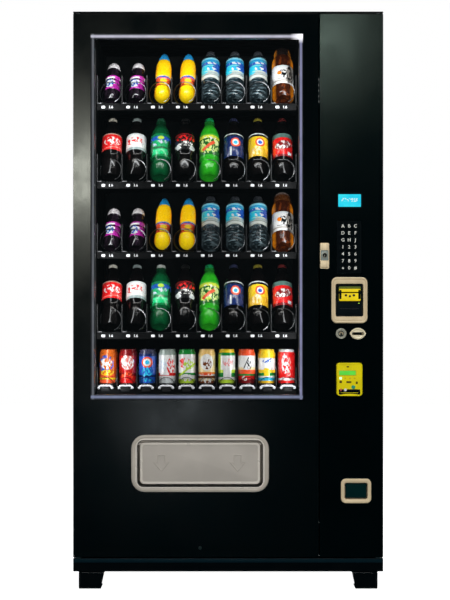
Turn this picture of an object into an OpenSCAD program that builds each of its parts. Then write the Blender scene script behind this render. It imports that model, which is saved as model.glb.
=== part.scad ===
// Glass-front vending machine for cold bottles and cans.
// Millimetres. +Z is up and the front faces -Y. The origin is on the floor, under the middle.

/* [Cabinet] */
// Overall width
body_w = 982; // [970:1:1000]
// Overall height
body_h = 1829; // [1820:1:1860]
// Depth from the faces of the doors to the back
body_d = 865; // [850:5:900]
// Height of the legs
leg_h = 55.5; // [50:0.5:70]
// Width of a leg's foot
foot_w = 71; // [60:1:72]
// Width of a leg's top
leg_w = 82; // [73:1:84]
// Thickness of the legs' plates
leg_t = 4.5; // [3:0.5:5]
// Distance from the legs to the sides of the machine
leg_inset = 17; // [14:1:22]
// Height of the plinth on top of the legs
plinth_h = 41.5; // [38:0.5:50]
// Thickness of sheet metal
sheet = 2; // [1.5:0.5:2.5]

/* [Doors] */
// Width of the control door
column_w = 201; // [198:1:204]
// Thickness of the glass door
door_t = 60; // [56:1:62]
// Depth of the control door's edge beside the glass door, which swings past it
column_t = 45; // [40:1:46]
// Gap between the two doors
door_gap = 3; // [3:0.5:4]
// Radius of the hinge pins
pin_r = 5; // [4:0.5:6]
// Distance from a door's outer edge to its hinge pin
pin_inset = 16; // [15:1:17]
// Radial clearance of pins and shafts in their bores
fit = 0.05; // [0.02:0.01:0.08]

/* [Window] */
// Stile to the left of the window
stile_l = 55.7; // [54:0.1:58]
// Stile to the right of the window
stile_r = 50.3; // [49:0.1:53]
// Rail above the window
rail_top = 63.6; // [60:0.1:70]
// Height of the window's lower edge above the floor
window_z = 600.2; // [596:0.1:604]
// Width of the lit trim at the sides
trim_side = 11.8; // [10:0.1:14]
// Width of the lit trim at the top and bottom
trim_end = 15.8; // [13:0.1:18]

/* [Delivery port] */
// Width of the bezel
port_w = 436; // [432:0.5:446]
// Height of the bezel
port_h = 181; // [178:0.5:188]
// Width of the opening
port_open_w = 394; // [390:1:398]
// Height of the opening
port_open_h = 144; // [138:1:146]
// Height of the opening's middle above the floor
port_z = 397.8; // [394:0.1:402]
// How far the hopper reaches in behind the door face
hopper_d = 135; // [130:1:138]

/* [Control column] */
// Pitch of the keys across
key_pitch_x = 19.8; // [19:0.1:20.4]
// Pitch of the keys down
key_pitch_z = 22.07; // [21.5:0.01:22.6]
// Height of the keypad's middle
keypad_z = 1083.1; // [1075:0.1:1090]
// Height of the display's middle
display_z = 1230.4; // [1220:0.1:1250]
// Height of the lock's middle
lock_z = 1055.4; // [1048:0.1:1062]
// Height of the bill acceptor's middle
bill_z = 914.8; // [910:0.1:920]
// Height of the coin button and coin slot
coin_z = 809.2; // [805:0.1:812]
// Height of the card reader's middle
reader_z = 665; // [660:0.5:675]
// How far the card reader stands out
reader_out = 25; // [22:1:28]
// Height of the coin cup's middle
cup_z = 311; // [305:1:320]

/* [Trays] */
// Height of each bottle tray's pan, top tray first
bottle_floors = [1555, 1300, 1071.4, 809.5];
// Height of the can tray's pan
can_floor = 629.5; // [628:0.5:632]
// Lanes on a bottle tray
bottle_lanes = 8; // [8:1:8]
// Lanes on the can tray
can_lanes = 10; // [10:1:10]
// Height of the dividers between bottles
bottle_divider_h = 92; // [80:1:96]
// Height of the dividers between cans
can_divider_h = 45; // [40:1:60]
// Height of the label rail
label_rail_h = 21; // [18:1:24]
// Turns of a bottle spiral
bottle_turns = 4; // [3:1:5]
// Turns of a can spiral
can_turns = 3.5; // [3:0.5:4]
// Thickness of the bottle spirals' wire
bottle_wire = 4; // [3:0.5:5]
// Thickness of the can spirals' wire
can_wire = 3; // [2.5:0.5:3.5]

/* [Refrigeration] */
// Radius of the compressor's shell
compressor_r = 80; // [70:1:85]
// Height of the compressor's shell
compressor_h = 150; // [130:1:152]

/* [Hidden] */
$fn = 48;
key_names = ["a", "b", "c", "d", "e", "f", "g", "h", "j", "1", "2", "3",
    "4", "5", "6", "7", "8", "9", "star", "0", "hash"];
floors = concat(bottle_floors, [can_floor]);

seam = 0.5;
x_l = -body_w / 2;
x_r = body_w / 2;
y_face = reader_out - (body_d + reader_out) / 2;
y_back = y_face + body_d;
cab_y = y_face + door_t + 6;
plinth_z = leg_h + plinth_h;
deck_z = plinth_z + 2.5;
cap_z = body_h - 4;
door_z0 = plinth_z + 4;
door_z1 = cap_z - 3;
column_x = x_r - column_w;
glass_x = column_x - door_gap;
pin_y = y_face + 15;

chamber_x0 = x_l + 54;
chamber_x1 = x_l + 725;
chamber_z0 = 320;
chamber_z1 = body_h - 39;
chamber_y1 = 300;
wall = 45;

window_lo = [x_l + stile_l, window_z];
window_hi = [glass_x - stile_r, door_z1 - rail_top];
port_x = x_l + 402;
port_pin_z = port_open_h / 2 - 11;

keypad_x = x_r - 108;
keypad_w = 78;
keypad_h = 165;
key_w = 17;
key_h = 19;
display_x = x_r - 106.5;
lock_x = column_x + 15.2;
lock_w = 28.6;
lock_h = 81.4;
lock_shaft_r = 8;
bill_x = x_r - 107.5;
bill_w = 114.4;
bill_h = 146;
bill_open_w = 83.6;
bill_open_h = 99.4;
button_x = x_r - 134;
button_r = 17.2;
slot_x = x_r - 80.7;
lens_w = 51.5;
lens_h = 35.8;
reader_x = x_r - 108.3;
reader_w = 82.4;
reader_h = 104.4;
cup_x = x_r - 86.1;
cup_w = 96.3;
cup_h = 78;
cup_open_w = 71;
cup_open_h = 51;
cup_d = 58;
cup_pin_z = cup_open_h / 2 - 8;

tray_x0 = x_l + 63.5;
tray_w = 650;
tray_y0 = -262;
tray_y1 = 250;
motor_y = 190;
motor_h = 66;
spiral_y0 = -256;

condenser_at = [60, -250, deck_z];
condenser_size = [300, 160];
evaporator_at = [-100, 90, chamber_z0];
evaporator_size = [500, 250];
motor_shaft_r = 4;
fan_y0 = 62;
fan_y1 = 80;

// Box between two corners
module block(lo, hi) {
    translate(lo) cube(hi - lo);
}

// Rectangle with round corners, centred
module rounded(w, h, r) {
    square([w - 2 * r, h], center = true);
    square([w, h - 2 * r], center = true);
    for (x = [-1, 1], z = [-1, 1])
        translate([x * (w / 2 - r), z * (h / 2 - r)]) circle(r);
}

// Upright plate with round corners that runs from y0 to y1
module plate(w, h, r, y0, y1) {
    translate([0, y1, 0]) rotate([90, 0, 0]) linear_extrude(y1 - y0) rounded(w, h, r);
}

// Rod along Y
module rod(r, y0, y1) {
    translate([0, y1, 0]) rotate([90, 0, 0]) cylinder(r = r, h = y1 - y0);
}

// Rod along X
module cross_rod(r, x0, x1) {
    translate([x0, 0, 0]) rotate([0, 90, 0]) cylinder(r = r, h = x1 - x0);
}

// Places a shape at a point on the front
module at(x, z) {
    translate([x, 0, z]) children();
}

// ---- Base and cabinet ----

// Leg of four welded plates: a foot with the anchor's hole, an outer wall, a front and a top
module leg() {
    y0 = y_face + 5;
    y1 = y_face + 85;
    top = leg_h - seam;
    difference() {
        block([0, y0, 0], [foot_w, y1, leg_t]);
        translate([34, y0 + 40, -1]) cylinder(r = 7, h = leg_t + 2);
    }
    block([0, y0, leg_t + 0.2], [leg_t, y1, top - leg_t - 0.2]);
    translate([0, y0 + leg_t, 0]) rotate([90, 0, 0]) linear_extrude(leg_t) polygon([
        [leg_t + 0.2, leg_t + 0.2], [leg_t + 0.2, top - leg_t - 0.2],
        [leg_w - 1, top - leg_t - 0.2], [foot_w, leg_t + 0.2]
    ]);
    block([0, y0, top - leg_t], [leg_w, y1, top]);
}

module base_frame() {
    color("#17191b") {
        difference() {
            block([x_l, y_face, leg_h], [x_r, cab_y, plinth_z]);
            block([x_l + sheet, y_face + sheet, leg_h + sheet], [x_r - sheet, cab_y + 1, plinth_z - sheet]);
        }
        for (side = [0, 1]) mirror([side, 0, 0]) difference() {
            block([x_r - 40, cab_y + seam, leg_h], [x_r, y_back, plinth_z]);
            block([x_r - 41, cab_y, leg_h + sheet], [x_r - sheet, y_back - sheet, plinth_z - sheet]);
        }
        difference() {
            block([x_l + 41, y_back - 40, leg_h], [x_r - 41, y_back, plinth_z]);
            block([x_l + 40, y_back - 41, leg_h + sheet], [x_r - 40, y_back - sheet, plinth_z - sheet]);
        }
        block([x_l + 4, cab_y + seam, plinth_z + 0.2], [x_r - 4, y_back - 8, deck_z]);
        for (side = [0, 1], rear = [0, 1])
            mirror([side, 0, 0]) translate([0, rear * (y_face + y_back), 0]) mirror([0, rear, 0])
                translate([x_r - leg_inset, 0, 0]) mirror([1, 0, 0]) leg();
    }
}

module cabinet_shell() {
    color("#141618") {
        for (x = [x_l, x_r - 2.5])
            block([x, cab_y, plinth_z + 0.2], [x + 2.5, y_back, cap_z - seam]);
        block([x_l, y_face, cap_z], [x_r, y_back, body_h]);
    }
}

module rear_panel() {
    inlet = [x_r - 110, 170];
    color("#2b2e30") {
        difference() {
            block([x_l + 3, y_back - 7, deck_z + seam], [x_r - 3, y_back - 5, cap_z - seam]);
            for (column = [0:2], row = [0:6])
                translate([x_l + 150 + column * 190, y_back - 8, 130 + row * 20]) cube([150, 4, 8]);
            for (row = [0:4])
                translate([x_r - 170, y_back - 8, 1640 + row * 20]) cube([110, 4, 8]);
            at(inlet[0], inlet[1]) plate(50.4, 30.4, 4, y_back - 8, y_back - 4);
        }
        at(inlet[0], inlet[1]) difference() {
            plate(50, 30, 4, y_back - 22, y_back - 1);
            plate(42, 22, 3, y_back - 14, y_back);
        }
    }
}

module inner_liner() {
    color("#1c1f21") {
        block([x_l + 3.5, cab_y, chamber_z0 - 40], [chamber_x0, chamber_y1 + wall, cap_z - 1]);
        block([chamber_x1, cab_y, chamber_z0 - 40], [chamber_x1 + 48, chamber_y1 + wall, cap_z - 1]);
        block([chamber_x0 + seam, cab_y, chamber_z1], [chamber_x1 - seam, chamber_y1 + wall, cap_z - 1]);
        block([chamber_x0 + seam, cab_y, chamber_z0 - 40],
            [chamber_x1 - seam, chamber_y1 + wall, chamber_z0]);
        block([chamber_x0 + seam, chamber_y1, chamber_z0 + seam],
            [chamber_x1 - seam, chamber_y1 + wall, chamber_z1 - seam]);
        for (z = floors) {
            block([chamber_x0 + 0.2, tray_y0 + 8, z - 6], [chamber_x0 + 14, chamber_y1 - 1, z - 3]);
            block([chamber_x1 - 15, tray_y0 + 8, z - 6], [chamber_x1 - 0.2, chamber_y1 - 1, z - 3]);
        }
    }
}

module hinge_pins() {
    color("#9a9c9e") for (side = [-1, 1]) translate([side * (x_r - pin_inset), pin_y, 0]) {
        translate([0, 0, plinth_z]) cylinder(r = pin_r, h = 18);
        translate([0, 0, plinth_z]) cylinder(r = pin_r + 5, h = 3.8);
        translate([0, 0, cap_z - 17]) cylinder(r = pin_r, h = 17);
    }
}

// ---- Refrigeration ----

module compressor() {
    color("#222222") translate([x_l + 165, 220, deck_z]) {
        translate([0, 0, 16]) rotate_extrude() intersection() {
            translate([0, compressor_h / 2]) rounded(2 * compressor_r, compressor_h, 34);
            square([compressor_r, compressor_h]);
        }
        translate([0, 0, 14]) cube([190, 170, 4.5], center = true);
        for (x = [-80, 80], y = [-70, 70]) translate([x, y, 0]) cylinder(r = 12, h = 11.75);
        translate([compressor_r - 8, -25, 60]) cube([34, 50, 56]);
    }
}

// Finned coil between two side plates, with a fan motor on a bar behind it. Its front is at y = 0
module coil_unit(w, h, motor_r) {
    fins = 12;
    tubes = floor(h / 32);
    for (x = [-w / 2, w / 2 - 2]) translate([x, 0, 0]) cube([2, 116, h]);
    for (i = [1:fins]) translate([-w / 2 + i * w / (fins + 1), 2, 3]) cube([1, 38, h - 6]);
    for (i = [1:tubes]) translate([0, 21, i * h / (tubes + 1)]) cross_rod(5, -w / 2 - 6, w / 2 + 6);
    translate([-w / 2, 110, h / 2 - 12]) cube([w, 4, 24]);
    translate([0, 0, h / 2]) rod(motor_r, 86, 112);
    translate([0, 0, h / 2]) rod(motor_shaft_r, fan_y0 - 2, fan_y1 + 10);
}

// Fan with five blades and a hub bored for the motor's shaft, centred on the shaft
module fan(r) {
    difference() {
        union() {
            rod(18, fan_y0, fan_y1);
            for (i = [0:4]) rotate([0, i * 72, 0]) translate([r / 2 + 6, (fan_y0 + fan_y1) / 2, 0])
                rotate([24, 0, 0]) cube([r - 12, 2, 44], center = true);
        }
        rod(motor_shaft_r + fit, fan_y0 - 12, fan_y1 + 10);
    }
}

module condenser_coil() {
    color("#8d9093") translate(condenser_at) coil_unit(condenser_size[0], condenser_size[1], 26);
}

module condenser_fan() {
    color("#3a3d40") translate(condenser_at + [0, 0, condenser_size[1] / 2]) fan(70);
}

module evaporator_coil() {
    color("#a4a7aa") translate(evaporator_at) coil_unit(evaporator_size[0], evaporator_size[1], 30);
}

module evaporator_fan() {
    color("#3a3d40") translate(evaporator_at + [0, 0, evaporator_size[1] / 2]) fan(100);
}

// ---- Glass door ----

module hinge_block(x, z0, z1) {
    block([x - 13, y_face + sheet, z0], [x + 13, y_face + 30, z1]);
}

module hinge_blocks(x) {
    hinge_block(x, door_z0 + sheet, door_z0 + 16);
    hinge_block(x, door_z1 - 16, door_z1 - sheet);
}

module hinge_bores(x) {
    for (z = [door_z0 - 1, door_z1 - 16.5])
        translate([x, pin_y, z]) cylinder(r = pin_r + fit, h = 17.5);
}

// Window opening, grown by a margin
module window_hole(margin, y0, y1) {
    block([window_lo[0] - margin, y0, window_lo[1] - margin],
        [window_hi[0] + margin, y1, window_hi[1] + margin]);
}

// Square box around the delivery port's cut-out, grown by a margin
module port_box(margin, y0, y1) {
    w = port_open_w / 2 + 4 + margin;
    h = port_open_h / 2 + 4 + margin;
    block([port_x - w, y0, port_z - h], [port_x + w, y1, port_z + h]);
}

module door_frame() {
    x = x_l + pin_inset;
    y1 = y_face + door_t;
    color("#15181a") difference() {
        union() {
            difference() {
                block([x_l, y_face, door_z0], [glass_x, y1, door_z1]);
                block([x_l + sheet, y_face + sheet, door_z0 + sheet],
                    [glass_x - sheet, y1 + 1, door_z1 - sheet]);
            }
            window_hole(sheet, y_face, y1);
            port_box(sheet, y_face, y1);
            hinge_blocks(x);
        }
        window_hole(0, y_face - 1, y1 + 1);
        port_box(0, y_face - 1, y1 + 1);
        hinge_bores(x);
    }
}

module door_core() {
    y1 = y_face + door_t;
    color("#2a2d2f") difference() {
        block([x_l + sheet, y_face + sheet, door_z0 + sheet], [glass_x - sheet, y1, door_z1 - sheet]);
        window_hole(sheet, y_face, y1 + 1);
        port_box(sheet, y_face, y1 + 1);
        hinge_blocks(x_l + pin_inset);
        hinge_bores(x_l + pin_inset);
    }
}

module window_glass() {
    color("#bcd8e6", 0.3) for (y = [y_face + 17, y_face + 33]) window_hole(-1, y, y + 4);
}

module window_trim() {
    color("#e8f3ff") difference() {
        window_hole(-0.3, y_face - 1.5, y_face + 16);
        block([window_lo[0] + trim_side, y_face - 2, window_lo[1] + trim_end],
            [window_hi[0] - trim_side, y_face + 17, window_hi[1] - trim_end]);
    }
}

module door_gasket() {
    y0 = y_face + door_t + 0.2;
    y1 = cab_y - 0.3;
    lo = [x_l + 24, chamber_z0 - 30];
    hi = [chamber_x1 + 30, cap_z - 14];
    color("#2e2e2e") difference() {
        block([lo[0], y0, lo[1]], [hi[0], y1, hi[1]]);
        block([lo[0] + 16, y0 - 1, lo[1] + 16], [hi[0] - 16, y1 + 1, hi[1] - 16]);
    }
}

// Bezel and sleeve through a door. The sleeve's side walls are bored for the flap's pins
module port(w, h, r, open_w, open_h, open_r, proud, depth, pin_radius, pin_z) {
    difference() {
        union() {
            plate(w, h, r, y_face - proud, y_face);
            plate(open_w + 6, open_h + 6, open_r + 3, y_face - 1, y_face + depth);
        }
        plate(open_w, open_h, open_r, y_face - proud - 1, y_face + depth + 1);
        translate([0, y_face + 6, pin_z]) cross_rod(pin_radius + fit, -w / 2 + 4, w / 2 - 4);
    }
}

// Floor, two sides and back of the box behind a port, open at the top
module hopper(open_w, open_h, y0, y1, above) {
    x = open_w / 2;
    z = open_h / 2;
    block([-x - 3, y0, -z - 3], [x + 3, y1, -z]);
    for (side = [0, 1]) mirror([side, 0, 0])
        block([x, y0, -z + seam], [x + 3, y1, z + above]);
    block([-x + seam, y1 - 3, -z + seam], [x - seam, y1, z + above]);
}

// Flap that hangs from two pins, with a raised lip round its edge
module flap(w, h, r, lip, pin_radius, pin_z) {
    plate(w, h, r, y_face + 2, y_face + 8);
    difference() {
        plate(w, h, r, y_face + 0.5, y_face + 2);
        plate(w - 2 * lip, h - 2 * lip, max(r - lip, 2), y_face - 1, y_face + 3);
    }
    for (side = [0, 1]) mirror([side, 0, 0])
        translate([0, y_face + 6, pin_z]) cross_rod(pin_radius, w / 2 - 12, w / 2 + 9.5);
}

module delivery_port() {
    color("#9a9186") at(port_x, port_z) {
        port(port_w, port_h, 43, port_open_w, port_open_h, 18, 8, door_t + 0.2, 3, port_pin_z);
        hopper(port_open_w, port_open_h, y_face + door_t + seam, y_face + hopper_d, 8);
    }
}

module arrow() {
    translate([0, y_face + 2, 0]) rotate([90, 0, 0]) linear_extrude(1.2)
        polygon([[-12, 28], [12, 28], [12, 2], [26, 2], [0, -28], [-26, 2], [-12, 2]]);
}

module delivery_flap() {
    color("#a29a8e") at(port_x, port_z) {
        flap(port_open_w - 14, port_open_h - 13, 14, 8, 3, port_pin_z);
        for (x = [-123, 119]) translate([x, 0, 1]) arrow();
    }
}

// ---- Control door ----

module control_panel() {
    y1 = y_face + door_t;
    x = x_r - pin_inset;
    color("#15181a") difference() {
        union() {
            difference() {
                block([column_x, y_face, door_z0], [x_r, y1, door_z1]);
                block([column_x + sheet, y_face + sheet, door_z0 + sheet],
                    [x_r - sheet, y1 + 1, door_z1 - sheet]);
            }
            hinge_blocks(x);
        }
        hinge_bores(x);
        block([column_x - 1, y_face + column_t, door_z0 - 1], [column_x + 14, y1 + 1, door_z1 + 1]);
        at(display_x, display_z) plate(79.5, 49.4, 2, y_face - 1, y_face + 10);
        at(keypad_x, keypad_z) plate(keypad_w + 0.6, keypad_h + 0.6, 4, y_face - 1, y_face + 10);
        at(lock_x - 0.2, lock_z) rod(lock_shaft_r + 1, y_face - 1, y_face + 10);
        at(bill_x, bill_z) plate(84, 100, 4, y_face - 1, y_face + 10);
        at(button_x, coin_z) rod(8, y_face - 1, y_face + 10);
        at(slot_x, coin_z) plate(38, 14, 3, y_face - 1, y_face + 10);
        at(reader_x, reader_z) rod(12, y_face - 1, y_face + 10);
        at(cup_x, cup_z) plate(cup_open_w + 7, cup_open_h + 7, 9, y_face - 1, y_face + 10);
    }
}

module display() {
    color("#2fb7e8") at(display_x, display_z) {
        plate(78.9, 48.8, 2, y_face - 1, y_face + 18);
        block([-45, y_face + 18.5, -32], [45, y_face + 30, 32]);
    }
}

function key_at(i) = [keypad_x + (i % 3 - 1) * key_pitch_x, keypad_z + (3 - floor(i / 3)) * key_pitch_z];

module keypad_plate() {
    color("#1d2124") {
        difference() {
            at(keypad_x, keypad_z) plate(keypad_w, keypad_h, 4, y_face - 2, y_face + 3);
            for (i = [0:len(key_names) - 1]) at(key_at(i)[0], key_at(i)[1])
                block([-key_w / 2 - 0.3, y_face - 3, -key_h / 2 - 0.3],
                    [key_w / 2 + 0.3, y_face + 4, key_h / 2 + 0.3]);
        }
        at(keypad_x, keypad_z) {
            block([-38, y_face + 8.6, -81], [38, y_face + 11, 81]);
            for (x = [-35, 35], z = [-75, 75]) at(x, z) rod(3, y_face + 3, y_face + 8.4);
        }
    }
}

module key(i) {
    color("#0c0d0e") at(key_at(i)[0], key_at(i)[1]) {
        plate(key_w, key_h, 3, y_face - 4, y_face + 3.4);
        plate(key_w + 1.8, key_h + 1.8, 3, y_face + 3.4, y_face + 5.4);
    }
}

module lock_plate() {
    color("#b5afa4") at(lock_x, lock_z) difference() {
        plate(lock_w, lock_h, 4, y_face - 4, y_face);
        rod(lock_shaft_r + fit, y_face - 5, y_face + 1);
    }
}

module latch_handle() {
    color("#a9a398") at(lock_x, lock_z) {
        plate(17, 66, 4, y_face - 11, y_face - 4.3);
        rod(12, y_face - 14, y_face - 11);
        rod(lock_shaft_r, y_face - 5, y_face + 40);
        block([-8, y_face + 40, -8], [8, y_face + 44, 30]);
    }
}

module bill_bezel() {
    color("#b8a58e") at(bill_x, bill_z) difference() {
        plate(bill_w, bill_h, 18, y_face - 12, y_face);
        plate(bill_open_w, bill_open_h, 5, y_face - 13, y_face + 1);
    }
}

module bill_validator() {
    slot_z = 24;
    color("#e8c51a") at(bill_x, bill_z) difference() {
        union() {
            plate(bill_open_w - 0.6, bill_open_h - 0.6, 5, y_face - 3, y_face + 2);
            block([-41, y_face + 1, -48], [41, y_face + 118, 48]);
        }
        block([-38, y_face - 4, slot_z - 3], [38, y_face + 108, slot_z + 3]);
    }
}

module coin_button() {
    color("#a8a49c") at(button_x, coin_z) {
        rod(button_r, y_face - 18, y_face - 8);
        rod(7, y_face - 8, y_face + 16);
    }
}

// Outline of the coin bezel: where two circles overlap
module lens(w, h) {
    r = (w * w + h * h) / (4 * h);
    intersection() {
        translate([0, r - h / 2]) circle(r);
        translate([0, h / 2 - r]) circle(r);
    }
}

module coin_mechanism() {
    color("#c0b096") at(slot_x, coin_z) {
        difference() {
            translate([0, y_face, 0]) rotate([90, 0, 0]) linear_extrude(9) lens(lens_w, lens_h);
            plate(33, 6, 2, y_face - 10, y_face + 1);
        }
        difference() {
            block([-18, y_face + 0.2, -6], [18, y_face + 44, 6]);
            block([-15, y_face - 1, -3], [15, y_face + 45, 3]);
        }
    }
    color("#3c4044") block([x_r - 156, y_face + 14, 440], [x_r - 62, y_face + 118, coin_z - 26]);
}

module card_reader() {
    color("#e2c413") at(reader_x, reader_z) {
        difference() {
            plate(reader_w, reader_h, 10, y_face - reader_out, y_face);
            block([-28, y_face - reader_out - 1, -42], [28, y_face - reader_out + 14, -36]);
        }
        rod(11.6, y_face, y_face + 12);
    }
}

module coin_cup() {
    color("#b5a48f") at(cup_x, cup_z) {
        port(cup_w, cup_h, 16, cup_open_w, cup_open_h, 6, 7, 12, 2, cup_pin_z);
        hopper(cup_open_w, cup_open_h, y_face + 12.5, y_face + cup_d, 0);
    }
}

module coin_flap() {
    color("#1f3a38") at(cup_x, cup_z) {
        plate(cup_open_w - 5, cup_open_h - 5, 4, y_face + 3, y_face + 8);
        for (side = [0, 1]) mirror([side, 0, 0])
            translate([0, y_face + 6, cup_pin_z]) cross_rod(2, cup_open_w / 2 - 6, cup_open_w / 2 + 2.5);
    }
}

// ---- Trays and spirals ----

function is_can(i) = i > len(bottle_floors);
function lanes(i) = is_can(i) ? can_lanes : bottle_lanes;
function lane_pitch(i) = (tray_w - 1.5) / lanes(i);

module tray(i) {
    z = floors[i - 1];
    divider_h = is_can(i) ? can_divider_h : bottle_divider_h;
    x1 = tray_x0 + tray_w;
    color("#3b3f43") {
        block([tray_x0, tray_y0 + 2.3, z - 2], [x1, tray_y1, z]);
        block([tray_x0, tray_y0, z - label_rail_h], [x1, tray_y0 + 2, z + 0.5]);
        for (lane = [0:lanes(i)]) translate([tray_x0 + lane * lane_pitch(i), tray_y0 + 4, z + 0.3])
            cube([1.5, motor_y - tray_y0 - 6, divider_h]);
        block([tray_x0, motor_y, z + 0.3], [x1, motor_y + 2, z + motor_h]);
        for (flange = [z + 0.3, z + motor_h - 2])
            block([tray_x0, motor_y + 2.3, flange], [x1, tray_y1, flange + 2]);
    }
}

// Wire wound along Y as a helix of flat segments with a square section, closed at both ends
module helix(r, length, turns, wire, start) {
    steps = 8 * turns;
    points = [for (i = [0:steps], c = [0:3])
        let (
            turn = start - i * 45,
            rr = r + wire * 0.6 * cos(90 * c),
            y = length * i / steps - wire * 0.6 * sin(90 * c)
        )
        [rr * sin(turn), y, rr * cos(turn)]];
    sides = [for (i = [0:steps - 1], c = [0:3], half = [0, 1])
        let (a = 4 * i + c, b = 4 * i + (c + 1) % 4)
        half == 0 ? [a, b, b + 4] : [a, b + 4, a + 4]];
    last = 4 * steps;
    ends = [[3, 2, 1], [3, 1, 0], [last, last + 1, last + 2], [last, last + 2, last + 3]];
    polyhedron(points, concat(sides, ends));
}

module spirals(i) {
    r = is_can(i) ? 30 : 36.5;
    turns = is_can(i) ? can_turns : bottle_turns;
    wire = is_can(i) ? can_wire : bottle_wire;
    start = is_can(i) ? 180 : 155;
    coil_end = motor_y - 12;
    color("#c9ccce") for (lane = [1:lanes(i)])
        translate([tray_x0 + 0.75 + (lane - 0.5) * lane_pitch(i), 0, floors[i - 1] + r + 4.5]) {
            translate([0, spiral_y0 + 4, 0]) helix(r, coil_end - spiral_y0 - 8, turns, wire, start);
            rod(r - 8, coil_end + 2, motor_y - 1);
        }
}

base_frame();
cabinet_shell();
rear_panel();
inner_liner();
hinge_pins();
compressor();
condenser_coil();
condenser_fan();
evaporator_coil();
evaporator_fan();
door_frame();
door_core();
window_glass();
window_trim();
door_gasket();
delivery_port();
delivery_flap();
control_panel();
display();
keypad_plate();
lock_plate();
latch_handle();
bill_bezel();
bill_validator();
coin_button();
coin_mechanism();
card_reader();
coin_cup();
coin_flap();
for (i = [1:len(floors)]) {
    tray(i);
    spirals(i);
}
for (i = [0:len(key_names) - 1])
    key(i);
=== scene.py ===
"""Glass-front vending machine for bottles and cans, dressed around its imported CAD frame."""
import math

import bpy
from mathutils import Matrix, Vector


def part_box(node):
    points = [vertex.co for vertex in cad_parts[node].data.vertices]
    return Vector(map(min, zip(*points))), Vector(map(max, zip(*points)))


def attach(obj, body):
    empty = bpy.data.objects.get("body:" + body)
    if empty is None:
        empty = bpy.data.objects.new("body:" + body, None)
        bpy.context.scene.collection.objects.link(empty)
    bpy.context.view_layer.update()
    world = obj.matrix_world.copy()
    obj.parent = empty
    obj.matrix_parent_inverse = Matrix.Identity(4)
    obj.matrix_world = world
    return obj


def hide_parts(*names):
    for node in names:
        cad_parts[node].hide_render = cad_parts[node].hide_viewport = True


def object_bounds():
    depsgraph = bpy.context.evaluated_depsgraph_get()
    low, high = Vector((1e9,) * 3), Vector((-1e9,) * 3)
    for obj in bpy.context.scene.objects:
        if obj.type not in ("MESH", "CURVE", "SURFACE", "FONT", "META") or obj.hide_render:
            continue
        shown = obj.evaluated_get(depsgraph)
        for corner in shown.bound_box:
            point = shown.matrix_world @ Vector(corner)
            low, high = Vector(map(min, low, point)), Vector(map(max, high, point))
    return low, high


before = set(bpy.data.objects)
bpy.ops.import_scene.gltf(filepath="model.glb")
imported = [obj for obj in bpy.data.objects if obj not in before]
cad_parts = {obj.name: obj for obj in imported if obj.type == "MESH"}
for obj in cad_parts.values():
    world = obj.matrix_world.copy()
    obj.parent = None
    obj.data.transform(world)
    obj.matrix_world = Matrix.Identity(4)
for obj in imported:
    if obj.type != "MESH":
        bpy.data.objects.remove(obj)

cad_lo, cad_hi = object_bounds()

MM = 0.001
KEYS = [*"abcdefghj123456789", "star", "0", "hash"]
TRAYS = [f"tray_{i}" for i in range(1, 6)]
COAT_ROUGHNESS = 0.08
GRAIN_DEPTH = 0.4 * MM
NO_LIGHT = (0.0, 0.0, 0.0)


# ---------------------------------------------------------------- materials

def new_material(name):
    mat = bpy.data.materials.new(name)
    mat.use_nodes = True
    tree = mat.node_tree
    shader = tree.nodes["Principled BSDF"]
    return mat, tree, shader


def coordinates(tree, attribute=None):
    """The surface point in metres: in the piece's own space, or in one product's from its attribute."""
    if attribute:
        node = tree.nodes.new("ShaderNodeAttribute")
        node.attribute_name = attribute
        return node.outputs["Vector"]
    return tree.nodes.new("ShaderNodeTexCoord").outputs["Object"]


def axes(tree, where):
    """The x, y and z of a point."""
    node = tree.nodes.new("ShaderNodeSeparateXYZ")
    put(where, node.inputs[0])
    return node.outputs


def put(value, socket):
    """Links value to the socket, or sets it there. A colour is given without its alpha."""
    if isinstance(value, bpy.types.NodeSocket):
        socket.id_data.links.new(value, socket)
    elif socket.type == "RGBA":
        socket.default_value = (*value, 1.0)
    else:
        socket.default_value = value


def give(node, **values):
    """Puts each value into the input that it names, with an underscore for a space."""
    for name, value in values.items():
        put(value, node.inputs[name.replace("_", " ")])


def noise(tree, where, scale, detail=3.0, stretch=(1, 1, 1)):
    squeeze = tree.nodes.new("ShaderNodeMapping")
    give(squeeze, Scale=stretch, Vector=where)
    node = tree.nodes.new("ShaderNodeTexNoise")
    give(node, Scale=scale, Detail=detail, Vector=squeeze.outputs["Vector"])
    return node.outputs["Fac"]


def spread(tree, value, low, high, start=0.35, end=0.65):
    """value between start and end, mapped to low and high."""
    node = tree.nodes.new("ShaderNodeMapRange")
    give(node, Value=value, From_Min=start, From_Max=end, To_Min=low, To_Max=high)
    return node.outputs["Result"]


def mix(tree, share, first, second):
    """A colour between two colours. Each colour is a tuple or a socket."""
    node = tree.nodes.new("ShaderNodeMix")
    node.data_type = "RGBA"
    for value, place in ((share, 0), (first, 6), (second, 7)):
        put(value, node.inputs[place])
    return node.outputs[2]


def maths(tree, operation, first, second=0.0, third=0.0):
    node = tree.nodes.new("ShaderNodeMath")
    node.operation = operation
    for value, socket in zip((first, second, third), node.inputs):
        put(value, socket)
    return node.outputs[0]


def bump(tree, shader, height, strength, distance):
    node = tree.nodes.new("ShaderNodeBump")
    give(node, Strength=strength, Distance=distance, Height=height)
    give(shader, Normal=node.outputs["Normal"])


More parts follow.
